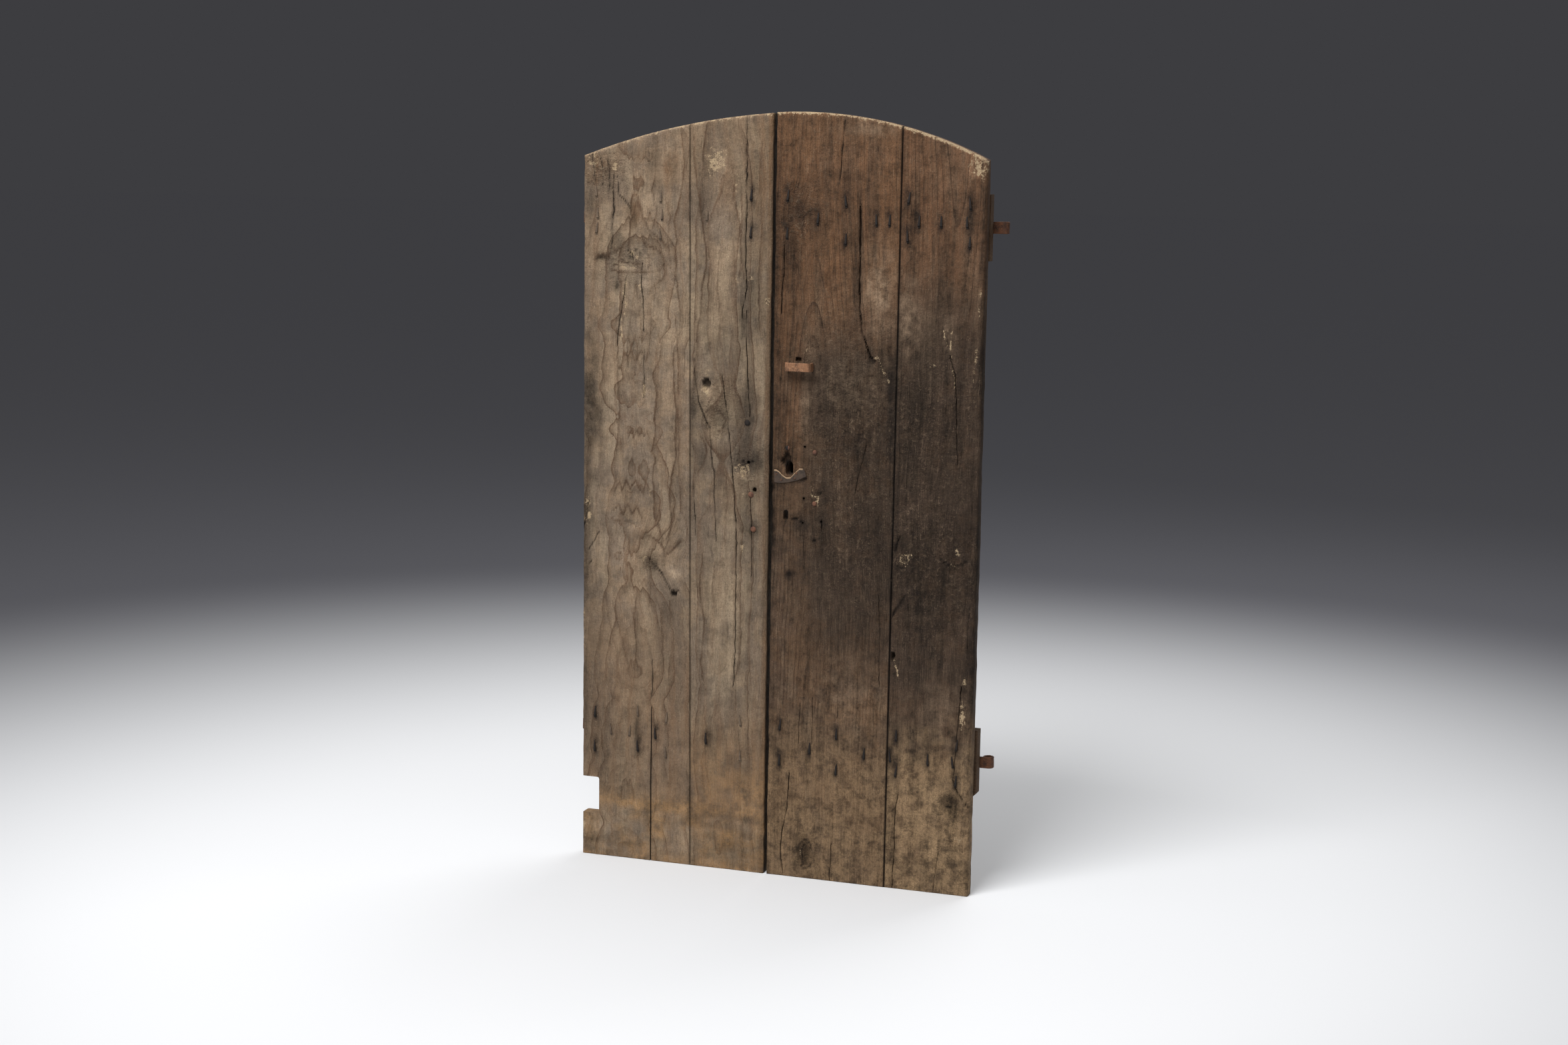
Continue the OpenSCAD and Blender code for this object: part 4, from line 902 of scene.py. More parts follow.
finish_mesh(left_narrow, {
    "ring": ring, "across": across, "crack": crack * facing,
    "iron": facing * np.maximum(0.85 * iron_stain(u, z, left_bars)[0],
                                patches(u, z, [(-46, 1000, 30, 26, 0.35), (-56, 1120, 14, 60, 0.25)])),
    # 0.6 * rim here and 0.3 * rim in the tone are a painted highlight along the head.
    "pale": facing * np.maximum(0.6 * rim, patches(u, z, [
        (-166, 1156, 10, 13, 1.0), (-66, 978, 20, 14, 0.8), (-70, 958, 8, 10, 0.8), (-68, 786, 4, 13, 0.6),
        (-68, 914, 4, 9, 0.6), (-14, 1366, 8, 12, 0.6), (-145, 1690, 26, 24, 0.7), (-94, 1640, 6, 42, 0.5),
        (-70, 1420, 34, 14, 0.3), (-158, 1200, 5, 14, 0.6)])),
    "warm": 0.5 * eased(z, 480, 260) * eased(z, 40, 160) + 0.3 * eased(z, 1500, 1700)
            # The 0.8 * eased(u, -20, -10) band is painted light on the rounded meeting edge.
            + facing * np.maximum(patches(u, z, [(-30, 1600, 22, 200, 0.45)]), 0.8 * eased(u, -20, -10)),
    "grime": facing * np.maximum(0.6 * open_dirt, patches(u, z, [
        (-52, 960, 46, 150, 0.4), (-110, 1110, 60, 60, 0.3), (-70, 1330, 26, 110, 0.4),
        (-180, 1090, 24, 50, 0.35), (-40, 700, 40, 200, 0.2), (-10, 1000, 8, 900, 0.4)])),
    "soil": np.clip(np.maximum(np.exp(-(((z - 142 + 14 * mud) / 26) ** 2)) * (0.75 + 0.4 * mud),
                               (0.5 + 0.5 * mud) * eased(z + 50 * mud, 390, 170)), 0, 1),
    "tone": facing * (0.3 * rim + 1.4 * patches(u, z, left_narrow_lights) + 0.1 * drift(u, z, 22, 44, 106)
                      + 0.2 * drift(u, z, 48, 13, 107) * eased(z, 250, 130)
                      - 1.25 * patches(u, z, left_narrow_shades))
            # Painted shade on the edge face in the gap between the leaves.
            - 0.75 * eased(u, -8, -5) * eased(y, 2.5, 8),
    "figure": facing * np.minimum(1.7 * drawn_lines(u, z, left_narrow_figure, 430, 9.0), 0.95),
    "haze": facing * patches(u, z, [(-150, 1300, 40, 90, 0.3), (-110, 600, 50, 160, 0.3)]),
    "rough": 0.25 + facing * patches(u, z, [(-140, 1120, 60, 60, 0.8), (-50, 980, 40, 60, 0.8)]),
}, left_narrow_wood)
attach(left_narrow, "left_leaf")
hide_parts("left_narrow_board")


# Right leaf, wide board: the plank at the meeting side, dark from hands round the lock and the pull, redder
# above and pale with mud at the foot. It has the keyhole, an older keyhole below it, holes of lost nails
# and the socket of an earlier pull.
right_bars = nail_points("right_batten_nails", "right_strap_nails")
right_wide_low = straight_edge("right_wide_board", -1, meeting_closed)
right_wide_high = straight_edge("right_wide_board", 1, seam_closed)
right_wide_cracks = cracks_of(160, [
    (1.1, 5.0, [(168, 1793), (162, 1720), (156, 1640)]),
    (1.5, 6.0, [(28, 1516), (26, 1435), (23, 1400), (21, 1345)]),
    (2.6, 9.0, [(206, 1610), (208, 1520), (208, 1450), (209, 1390), (211, 1350), (216, 1310), (224, 1288),
                (232, 1265), (246, 1240)]),
    (1.1, 4.0, [(234, 1054), (224, 1010), (215, 978), (208, 936)]),
    (1.3, 5.0, [(59, 255), (53, 162), (40, 93), (38, 62), (46, 4)]),
    (1.1, 4.0, [(165, 93), (163, 1)]),
    (1.8, 4.0, [(50, 868), (66, 866), (82, 859)]),
    (1.7, 4.0, [(101, 822), (111, 817), (121, 822)]),
    (1.4, 4.0, [(127, 868), (129, 856), (127, 842)]),
    (1.7, 4.0, [(108, 932), (118, 934), (127, 930)]),
    (1.4, 3.0, [(34, 1064), (36, 1048), (35, 1032)]),
    (0.8, 2.5, [(82, 425), (80, 330)]),
    (0.8, 2.5, [(114, 445), (113, 330)]),
    (0.8, 2.5, [(176, 440), (175, 400)]),
    (0.9, 2.5, [(270, 700), (274, 620), (276, 480)]),
    (0.8, 2.0, [(106, 1150), (128, 1172), (150, 1190)]),
])
right_wide_figure = [
    (3.4, 0.6, oval(60, 1574, 13, 10)), (3.0, 0.5, oval(60, 1574, 25, 20, 20, 330)),
    (3.0, 0.45, oval(60, 1572, 37, 30, 40, 300)), (3.0, 0.5,
                                                   [(14, 1590), (24, 1560), (22, 1520), (30, 1470)]),
    (2.6, 0.35, [(24, 1505), (52, 1500), (84, 1506)]), (2.6, 0.35, [(22, 1490), (50, 1482), (80, 1488)]),
    (2.6, 0.3, [(26, 1474), (56, 1466), (78, 1470)]), (2.6, 0.35, oval(98, 1330, 12, 52, 10, 170)),
    (2.6, 0.35, oval(98, 1320, 24, 84, 10, 170)), (2.6, 0.3, oval(98, 1310, 36, 116, 15, 165)),
    (3.4, 0.5, oval(101, 60, 14, 26)), (2.6, 0.35, oval(101, 58, 32, 62, 60, 300)),
    (3.0, 0.35, oval(150, 590, 16, 30, 150, 400)), (2.6, 0.3, oval(150, 600, 30, 60, 160, 380)),
    (2.2, 0.6, [(208, 936), (204, 802), (201, 680)]), (3.4, 0.55, [(222, 1060), (236, 1000), (228, 950)]),
    (5.0, 0.45, [(276, 1200), (292, 1130), (286, 1060), (280, 1000)]),
]
right_wide_pits = [(39, 1004, 12, 17, 9), (101, 61, 20, 36, 3.5), (119, 927, 6, 8, 4),
                   (113, 819, 4, 4.5, 3), (117, 803, 4, 4.5, 3), (5, 936, 9, 12, 4), (5, 880, 7, 18, 3),
                   (5, 842, 8, 20, 4), (5, 808, 7, 13, 3), (5, 592, 6, 18, 3), (56, 735, 14, 8, 1.2),
                   (243, 1243, 9, 9, 5), (207, 1122, 4, 4, 2.5), (188, 1377, 5, 7, 1.5),
                   (185, 490, 8, 5, 1.5)]


def right_wide_grain(u, y, z):
    """Ring number and place across the grain: fine upright lines with low flames under the upper batten."""
    a = u + 1.6 * drift(u, z, 40, 60, 22) + 6.0 * drift(u, z, 110, 320, 23)
    eye = np.exp(-(((u - 59) / 34) ** 2) - ((z - 1574) / 46) ** 2)
    low_eye = np.exp(-(((u - 101) / 40) ** 2) - ((z - 58) / 60) ** 2)
    a = a + 16 * eye + 18 * low_eye
    cover = 16 + 0.055 * (z - 640) + 9 * drift(0 * z, z, 1, 240, 24) + 0.5 * y
    return np.hypot(a - 98, cover) / 8.2, a


def mottled(u, z, seed):
    """Uneven dark of a face that hands have rubbed, in coarse and fine spots."""
    return 0.16 * drift(u, z, 32, 42, seed) + 0.17 * drift(u, z, 10, 13, seed + 1)


def right_wide_sunk(u, z):
    ring, a = right_wide_grain(u, 0, z)
    rough = patches(u, z, [(215, 1140, 95, 150, 1.0), (205, 900, 90, 160, 0.7), (150, 1220, 60, 60, 0.5)])
    wave = 0.6 * (1 + drift(u, z, 80, 190, 67)) + 0.2 * (1 + drift(a, z, 2.8, 110, 68))
    wave = wave + rough * (1.5 * (1 + drift(u, z, 16, 13, 69)) + 0.9 * (1 + drift(u, z, 7, 9, 70)))
    return wave + hollows(u, z, ring, 0.2, right_wide_pits, right_bars, right_wide_cracks)


right_wide, right_wide_head = board(
    "right_wide", right_wide_low, right_wide_high, seam=1, arris=(5.5, 2.6, 3.0, 5.0), step=(2.6, 5.4),
    sunk=right_wide_sunk, cracks=right_wide_cracks)


def upright_slot(at_u, at_z, wide, tall):
    """A keyhole's outline with round ends."""
    turn = np.radians(np.arange(0, 181, 15))
    r = wide / 2
    ends = [(at_u + r * math.cos(t), at_z + (tall / 2 - r) + r * math.sin(t)) for t in turn]
    ends += [(at_u - r * math.cos(t), at_z - (tall / 2 - r) - r * math.sin(t)) for t in turn]
    return np.array(ends)


cut_out(right_wide, [
    (upright_slot(47, 984, 19, 34), 60),
    (upright_slot(40, 874, 12, 25), 60),
    (np.array([(58, 1235.5), (72, 1236), (72.4, 1244), (58.4, 1245)]), 10),
    (ragged_round(84, 1037, 2.6, 2.8, 7), 14),
    (ragged_round(83.5, 916, 2.6, 2.7, 8), 14),
    (ragged_round(82, 858, 2.1, 2.4, 9), 14),
    (ragged_round(126.5, 863, 2.1, 2.3, 10), 14),
])
u, y, z, facing, rim, mud = seen_face(right_wide, right_wide_head)
ring, across = right_wide_grain(u, y, z)
# Painted shade, near black: in the deep pits and nail holes, the hole over the pull, along the cracks and
# round the low knot, in the seam, and in the chips along the meeting edge.
crack = 0.8 * eased(ragged_pits(u, z, right_wide_pits[:5] + right_wide_pits[11:14]), 1.6, 6)
crack = np.maximum(crack, patches(u, z, [(65, 1240, 7, 6, 1.0), (84, 1037, 4, 4, 1), (83.5, 916, 4, 4, 1),
                                         (52, 735, 10, 8, 0.7), (82, 858, 3.5, 3.5, 1),
                                         (126.5, 863, 3.5, 3.5, 1), (5, 936, 7, 10, 0.8),
                                         (4, 845, 7, 46, 0.8), (4, 1000, 4, 400, 0.4)]))
_, crack_shade, open_dirt = opened(u, z, right_wide_cracks)
crack = np.maximum.reduce([crack, crack_shade, painted_seam_shade(u, right_wide_high(z), 0.85)])
crack = np.maximum(crack, drawn_lines(u, z, [
    (3.5, 0.95, oval(101, 62, 18, 32, 20, 200)), (3.0, 0.85, oval(101, 60, 20, 35, 230, 330)),
    (2.5, 0.8, oval(101, 64, 9, 17, 40, 300)), (3.2, 0.8, [(100, 823), (111, 817), (122, 823)]),
    (3.0, 0.8, [(106, 932), (118, 935), (128, 930)]), (3.0, 0.7, [(50, 868), (66, 866), (83, 858)]),
    (3.4, 0.6, [(98, 858), (90, 846), (96, 832)]), (3.0, 0.5, [(40, 862), (34, 846), (36, 828)])], 455))
# Painted shade inside the two keyholes, behind their front edge.
key_hollow = (abs(u - 47) < 11) * (abs(z - 984) < 19) + (abs(u - 40) < 7.5) * (abs(z - 874) < 14)
crack = np.maximum(crack, key_hollow * eased(y, 1.5, 5))
hand_worn = dict(line=0.65, fibrous=0.5, spots=0.35, streaky=1.9, cloudy=2.2, gritty=2.0)
right_wide_wood = aged_wood(
    "hand_worn_wide_plank", bright=paint(134, 113, 92), bare=paint(103, 79, 59), silver=paint(88, 70, 56),
    late=paint(54, 38, 28), deep=paint(30, 22, 17), red=paint(101, 72, 50), hand=paint(62, 50, 40),
    soil=paint(138, 113, 85), **hand_worn)
mid_dark = eased(z, 400, 660) * eased(z, 1350, 1220)
right_wide_shades = [
    (150, 1745, 110, 14, 0.05), (70, 1640, 40, 40, 0.15), (199, 1480, 11, 120, 0.3),
    (40, 1470, 30, 70, 0.4), (62, 1572, 38, 34, 0.35), (120, 1560, 60, 60, 0.15), (235, 1215, 30, 34, 0.3),
    (290, 1130, 13, 130, 0.5), (287, 950, 13, 160, 0.3), (75, 848, 46, 34, 0.3), (237, 1066, 16, 18, 0.45),
    (262, 1000, 10, 90, 0.2), (230, 1010, 40, 60, 0.35), (60, 775, 40, 60, 0.25), (110, 880, 40, 60, 0.3),
    (101, 61, 22, 38, 0.45), (40, 850, 26, 30, 0.25), (30, 1100, 14, 90, 0.15), (30, 190, 20, 60, 0.3),
    # (65, 1205, ...) is a painted shadow under the pull staple.
    (150, 1110, 50, 60, 0.25), (8, 900, 9, 200, 0.4), (8, 1500, 9, 300, 0.4), (65, 1205, 22, 14, 0.4),
    (250, 850, 40, 100, 0.2), (36, 300, 16, 60, 0.25), (280, 640, 18, 120, 0.2), (16, 1100, 14, 700, 0.25),
    (40, 1020, 26, 26, 0.45), (26, 960, 24, 40, 0.35),
]
right_wide_lights = [
    (190, 1698, 110, 20, 0.35), (60, 1690, 50, 40, 0.1), (258, 1400, 30, 60, 0.2), (82, 1140, 12, 60, 0.4),
    (85, 1258, 11, 15, 0.35), (30, 1140, 18, 90, 0.15), (150, 240, 130, 70, 0.12), (200, 440, 60, 40, 0.15),
    (20, 560, 14, 200, 0.15), (150, 660, 26, 60, 0.12), (190, 1010, 110, 190, 0.08),
    (150, 1735, 130, 44, 0.1), (60, 1160, 40, 90, 0.1),
]
finish_mesh(right_wide, {
    "ring": ring, "across": across, "crack": crack * facing,
    "iron": facing * np.maximum.reduce([
        0.9 * iron_stain(u, z, right_bars)[0],
        patches(u, z, [
            (290, 1130, 9, 110, 0.4), (55, 735, 12, 8, 0.8), (235, 1255, 16, 22, 0.4),
            (58, 1580, 26, 20, 0.45), (25, 1549, 8, 14, 0.6), (33, 1505, 6, 28, 0.5)]),
        # A painted shadow along the lower edge of the keyhole plate.
        drawn_lines(u, z, [(8.0, 0.8, [(12, 945), (25, 944), (44, 947), (67, 953), (90, 964)])], 458)]),
    # 0.8 * rim here and 0.5 * rim in the tone are a painted highlight along the head.
    "pale": facing * np.maximum.reduce([
        0.8 * rim, patches(u, z, [
            (85, 1255, 12, 14, 0.35), (300, 735, 4, 10, 0.5), (116, 914, 9, 12, 0.5), (42, 1582, 6, 4, 0.2),
            (60, 1577, 5, 3, 0.2), (77, 1556, 6, 4, 0.25), (104, 930, 4, 20, 0.4), (92, 66, 6, 8, 0.4)]),
        drawn_lines(u, z, [
            (3.6, 1.0, [(250, 1262), (262, 1236), (270, 1215), (284, 1194)]),
            (3.0, 0.9, [(256, 1242), (268, 1226), (276, 1210), (280, 1196)]),
            (2.6, 0.7, [(243, 1252), (254, 1246), (262, 1248)])], 450)]),
    "warm": np.maximum(0.85 * eased(z, 1180, 1480), 0.95 * eased(u, 110, 45) * eased(z, 900, 1050)),
    "grime": np.clip(np.maximum.reduce([
        mid_dark * (0.35 + 0.6 * eased(u, 60, 140)) + 0.15 * drift(u, z, 90, 120, 73), 0.6 * open_dirt,
        patches(u, z, [(62, 1570, 44, 60, 0.5), (40, 1480, 26, 70, 0.4), (200, 1420, 14, 190, 0.5),
                       (78, 850, 46, 52, 0.9), (10, 1000, 10, 900, 0.4)])]), 0, 0.95),
    "soil": np.clip((0.8 + 0.25 * mud) * eased(z + 60 * mud, 480, 220), 0, 1),
    # The tone's last term is painted shade on the edge face in the gap between the leaves.
    "tone": facing * (0.5 * rim + patches(u, z, right_wide_lights)
                      + (0.25 + 0.75 * mid_dark) * mottled(u, z, 101)
                      - 1.15 * patches(u, z, right_wide_shades)) - 0.75 * eased(u, 8, 5) * eased(y, 2.5, 8),
    "figure": facing * drawn_lines(u, z, right_wide_figure, 470, 9.0),
    "haze": facing * patches(u, z, [(258, 1400, 38, 70, 0.85), (84, 1135, 13, 66, 0.35),
                                    (190, 1190, 70, 60, 0.4), (200, 460, 70, 60, 0.3),
                                    (230, 1768, 70, 16, 0.5)]),
    "rough": 0.3 + facing * patches(u, z, [(200, 1120, 110, 170, 1.0), (200, 880, 110, 170, 0.7),
                                           (60, 1560, 50, 70, 0.9), (101, 58, 30, 50, 1.0)]),
}, right_wide_wood)
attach(right_wide, "right_leaf")
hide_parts("right_wide_board")


# Right leaf, narrow board: the plank at the hanging side, rubbed dark at mid height, with a worn upper
# corner, a gouge and a rotted knot near its foot. The hinge straps' battens end behind its outer edge.
right_narrow_low = straight_edge("right_narrow_board", -1, seam_closed)
right_narrow_high = straight_edge("right_narrow_board", 1)
right_narrow_cracks = cracks_of(190, [
    (1.3, 5.0, [(424, 1265), (438, 1219), (443, 1150), (446, 1073), (450, 1013)]),
    (3.0, 8.0, [(333, 704), (318, 676), (305, 655)]),
    (1.3, 5.0, [(473, 499), (467, 395), (459, 278), (464, 260), (476, 240), (486, 226), (506, 206)]),
    (1.2, 5.0, [(328, 231), (321, 185), (321, 101), (318, 1)]),
    (1.0, 3.0, [(428, 101), (417, 1)]),
    (1.8, 4.0, [(416, 792), (430, 784), (446, 779), (467, 783)]),
    (1.5, 4.0, [(440, 772), (454, 780), (474, 793), (500, 797)]),
    (1.5, 3.5, [(318, 842), (312, 828), (308, 806)]),
    (2.0, 5.0, [(436, 213), (450, 211), (470, 214), (484, 214)]),
    (1.1, 3.0, [(371, 1226), (395, 1236), (418, 1243)]),
    (0.9, 3.0, [(487, 690), (484, 620), (486, 520)]),
])
right_narrow_figure = [
    (3.4, 0.6, [(442, 236), (438, 214), (446, 194), (462, 184), (480, 188)]),
    (3.0, 0.5, [(470, 206), (474, 196), (468, 186)]),
    (2.6, 0.35, [(372, 1700), (380, 1600), (370, 1480), (360, 1380)]),
    (2.6, 0.35, [(410, 1690), (416, 1600), (402, 1500), (396, 1400)]),
    (3.0, 0.4, [(344, 1280), (360, 1200), (350, 1120)]),
    (3.0, 0.35, [(400, 1180), (412, 1100), (402, 1010)]), (3.4, 0.4, [(430, 900), (446, 820), (436, 740)]),
]
right_narrow_pits = [(307, 558, 6, 9, 12), (461, 208, 25, 32, 3.0), (433, 560, 3, 5, 2),
                     (478, 430, 6, 22, 1.4), (480, 512, 4, 13, 1.2), (415, 1300, 9, 22, 1.2),
                     (328, 794, 4, 9, 1.2)]


def right_narrow_grain(u, y, z):
    """Ring number and place across the grain: close lines that lean a little to the outside."""
    a = u - 0.02 * (z - 900) + 1.6 * drift(u, z, 40, 60, 25) + 7.0 * drift(u, z, 100, 300, 26)
    knot = np.exp(-(((u - 463) / 46) ** 2) - ((z - 201) / 60) ** 2)
    return np.hypot(a - 420 + 20 * knot, 60 + 0.03 * (1800 - z) + 0.5 * y) / 7.6, a


def right_narrow_sunk(u, z):
    ring, a = right_narrow_grain(u, 0, z)
    rough = patches(u, z, [(400, 780, 110, 150, 0.9), (380, 1100, 100, 130, 0.6)])
    wave = 0.6 * (1 + drift(u, z, 80, 190, 74)) + 0.2 * (1 + drift(a, z, 2.8, 110, 75))
    wave = wave + rough * (1.3 * (1 + drift(u, z, 16, 13, 76)) + 0.8 * (1 + drift(u, z, 7, 9, 77)))
    return wave + hollows(u, z, ring, 0.2, right_narrow_pits, right_bars, right_narrow_cracks)


right_narrow, right_narrow_head = board(
    "right_narrow", right_narrow_low, right_narrow_high, seam=-1, arris=(2.6, 8.5, 3.0, 5.0),
    step=(2.3, 5.2),
    sunk=right_narrow_sunk, cracks=right_narrow_cracks)
u, y, z, facing, rim, mud = seen_face(right_narrow, right_narrow_head, 9)
ring, across = right_narrow_grain(u, y, z)
# Painted shade, near black: in the deep pits, along the cracks and the gouge, and in the seam.
crack = 0.8 * eased(ragged_pits(u, z, right_narrow_pits[:3]), 1.6, 6)
_, crack_shade, open_dirt = opened(u, z, right_narrow_cracks)
crack = np.maximum.reduce([crack, crack_shade, painted_seam_shade(u, right_narrow_low(z), 0.85), drawn_lines(u, z, [
    (6.5, 0.95, [(333, 704), (320, 678), (303, 652)]),
    (3.2, 0.85, [(416, 793), (430, 785), (447, 779), (468, 783)]),
    (3.2, 0.85, [(438, 772), (454, 780), (474, 793), (500, 797)]),
    (4.5, 0.7, [(322, 846), (312, 828), (306, 800)]),
    (3.0, 0.6, [(309, 776), (320, 768), (334, 764)])], 465)])
right_narrow_wood = aged_wood(
    "hand_worn_narrow_plank", bright=paint(130, 109, 89), bare=paint(98, 76, 58), silver=paint(84, 68, 54),
    late=paint(52, 38, 28), deep=paint(29, 22, 17), red=paint(100, 70, 49), hand=paint(59, 47, 38),
    soil=paint(152, 126, 95), **hand_worn)
mid_dark = eased(z, 300, 560) * eased(z, 1480, 1200)
right_narrow_shades = [
    (470, 1590, 24, 44, 0.4), (330, 1560, 20, 70, 0.25), (470, 920, 36, 160, 0.3), (320, 690, 13, 36, 0.5),
    (390, 720, 90, 110, 0.2), (315, 828, 13, 26, 0.5), (318, 768, 16, 14, 0.4), (446, 776, 34, 12, 0.4),
    (461, 212, 27, 32, 0.6), (464, 190, 16, 12, 0.3), (498, 40, 9, 26, 0.35), (496, 620, 9, 220, 0.4),
    (340, 1120, 26, 160, 0.2), (450, 1130, 16, 110, 0.3), (310, 1000, 8, 300, 0.3),
    (420, 1440, 50, 60, 0.15), (480, 1400, 12, 60, 0.3), (310, 200, 8, 200, 0.2), (497, 1450, 8, 200, 0.4),
]
right_narrow_lights = [
    (474, 1690, 28, 30, 0.75), (350, 1690, 40, 20, 0.25), (486, 1320, 7, 140, 0.6),
    (400, 230, 100, 90, 0.2), (400, 120, 80, 60, 0.15), (440, 1630, 30, 40, 0.2), (345, 440, 40, 50, 0.15),
    (380, 40, 60, 30, 0.15), (400, 1090, 100, 130, 0.12), (380, 890, 60, 40, 0.15),
]
finish_mesh(right_narrow, {
    "ring": ring, "across": across, "crack": crack * facing,
    "iron": facing * np.maximum(0.9 * iron_stain(u, z, right_bars)[0],
                                patches(u, z, [
                                    (492, 76, 11, 16, 0.6), (474, 77, 14, 10, 0.6), (456, 79, 12, 5, 0.5),
                                    (453, 109, 18, 6, 0.6), (470, 1290, 22, 40, 0.25),
                                    (486, 600, 8, 90, 0.35)])),
    # 0.9 * rim here and 0.6 * rim in the tone are a painted highlight along the head.
    "pale": facing * np.maximum.reduce([
        0.9 * rim,
        patches(u, z, [(316, 801, 5, 5, 0.6), (324, 795, 5, 7, 0.8), (333, 799, 6, 5, 0.8),
            (328, 784, 7, 6, 0.75), (339, 789, 5, 7, 0.7), (319, 781, 5, 5, 0.5), (336, 776, 5, 5, 0.6),
            (346, 797, 4, 5, 0.5), (455, 812, 7, 6, 0.5), (444, 780, 18, 8, 0.35), (477, 430, 6, 22, 0.9),
            (480, 512, 4, 13, 0.8), (482, 1690, 22, 26, 0.8), (477, 140, 22, 10, 0.45)]),
        drawn_lines(u, z, [
            (3.2, 0.9, [(408, 1324), (412, 1302), (420, 1286)]),
            (3.2, 0.9, [(431, 1326), (426, 1298), (428, 1264)]),
            (2.6, 0.7, [(416, 1318), (428, 1310)]),
            (2.8, 0.8, [(372, 1228), (385, 1240), (400, 1243), (420, 1240)]),
            (2.4, 0.7, [(400, 1243), (412, 1232)]), (2.8, 0.7, [(428, 1262), (436, 1220), (440, 1180)]),
            (5.0, 0.6, [(488, 1290), (485, 1240), (480, 1204)]), (5.0, 0.45, [(494, 1420), (491, 1350)])],
            460),
        0.9 * nearness(u, z, wander([(306, 557), (314, 540), (320, 508)], 7), 5),
    ]),
    "warm": 0.75 * eased(z, 1250, 1580),
    "grime": np.clip(np.maximum.reduce([
        0.95 * mid_dark + 0.15 * drift(u, z, 90, 120, 78), 0.6 * open_dirt,
        patches(u, z, [(470, 1580, 26, 50, 0.45), (496, 1500, 10, 160, 0.4)])]), 0, 0.95),
    "soil": np.clip((0.9 + 0.25 * mud) * eased(z + 60 * mud, 440, 230), 0, 1),
    "tone": facing * (0.6 * rim + patches(u, z, right_narrow_lights)
                      + (0.25 + 0.75 * mid_dark) * mottled(u, z, 103)
                      - patches(u, z, right_narrow_shades)),
    "figure": facing * drawn_lines(u, z, right_narrow_figure, 500, 9.0),
    "haze": facing * patches(u, z, [(328, 1340, 26, 66, 0.75), (420, 1310, 16, 40, 0.5),
                                    (430, 430, 50, 60, 0.45)]),
    "rough": 0.3 + facing * patches(u, z, [(400, 780, 110, 170, 1.0), (380, 1080, 110, 160, 0.8),
                                           (465, 205, 40, 40, 1.0)]),
}, right_narrow_wood)
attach(right_narrow, "right_leaf")
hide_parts("right_narrow_board")


# Battens: four rough-sawn ledges across the backs of the leaves, chamfered at their outer edges. Nails go
# through them and the boards, and the hinge straps lie on them.
batten_wood = aged_wood(
    "sawn_batten", bright=paint(136, 110, 84), bare=paint(108, 84, 63), silver=paint(94, 77, 61),
    late=paint(62, 45, 33), deep=paint(36, 27, 21), red=paint(100, 72, 50), hand=paint(64, 52, 42),
    soil=paint(118, 94, 70), line=0.45, along="X")


def on_leaves(*kinds):
    """Nodes that both leaves have, each with its leaf."""
    return [(f"{side}_{kind}", f"{side}_leaf") for side in ("left", "right") for kind in kinds]


def batten_edge(node, side):
    """A batten's upper or lower edge as a function of the place across, read from the solid."""
    low, high = [1000 * (c.x - meeting_x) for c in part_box(node)]
    middle = 1000 * (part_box(node)[0].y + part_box(node)[1].y) / 2 - 1000 * front_y
    across = np.linspace(low + 0.3, high - 0.3, 120)
    start = 2300.0 if side > 0 else -400.0
    starts = [place(a, middle, start) for a in across]
    found = solid_hits(node, starts, (0, 0, -side))[:, 2]
    return lambda a: np.interp(a, across, found)


def square_end(at):
    """An end sawn square, as a function of the place along it."""
    return lambda a: at + 0 * a


def sawn(a, b):
    """The saw's marks on a batten's front, as hollows."""
    return 0.15 * (1 + drift(b, a, 30, 40, 85)) + 0.1 * (1 + drift(b, a, 5, 30, 86))


for k, (node, leaf) in enumerate(on_leaves("upper_batten", "lower_batten")):
    box_low, box_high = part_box(node)
    ends = [1000 * (c.x - meeting_x) for c in (box_low, box_high)]
    depth = 1000 * (box_high.y - box_low.y)
    batten = plank(
        node + "_sawn", batten_edge(node, -1), batten_edge(node, 1), ends[0], square_end(ends[1]),
        square_end(ends[1]),
        (3.0, 3.0, 2.5, 2.5), (3.2, 7.0), sawn, depth, from_back=1000 * (box_low.y - front_y),
        upright=False)
    u, y, z = points_of(batten)
    lines = z + 2 * drift(u, z, 90, 30, 87 + k) + 6 * drift(u, z, 260, 90, 91 + k)
    finish_mesh(batten, {
        **dict.fromkeys(("crack", "iron", "pale", "soil", "haze", "figure"), 0 * u),
        **dict.fromkeys(("warm", "rough"), 0 * u + 0.4),
        "ring": np.hypot(lines - z.mean() - 60, y - 20) / 8.5, "across": lines,
        "grime": 0.3 + 0.3 * drift(u, z, 120, 60, 95), "tone": 0.2 * drift(u, z, 90, 40, 94),
    }, batten_wood)
    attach(batten, leaf)
    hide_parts(node)


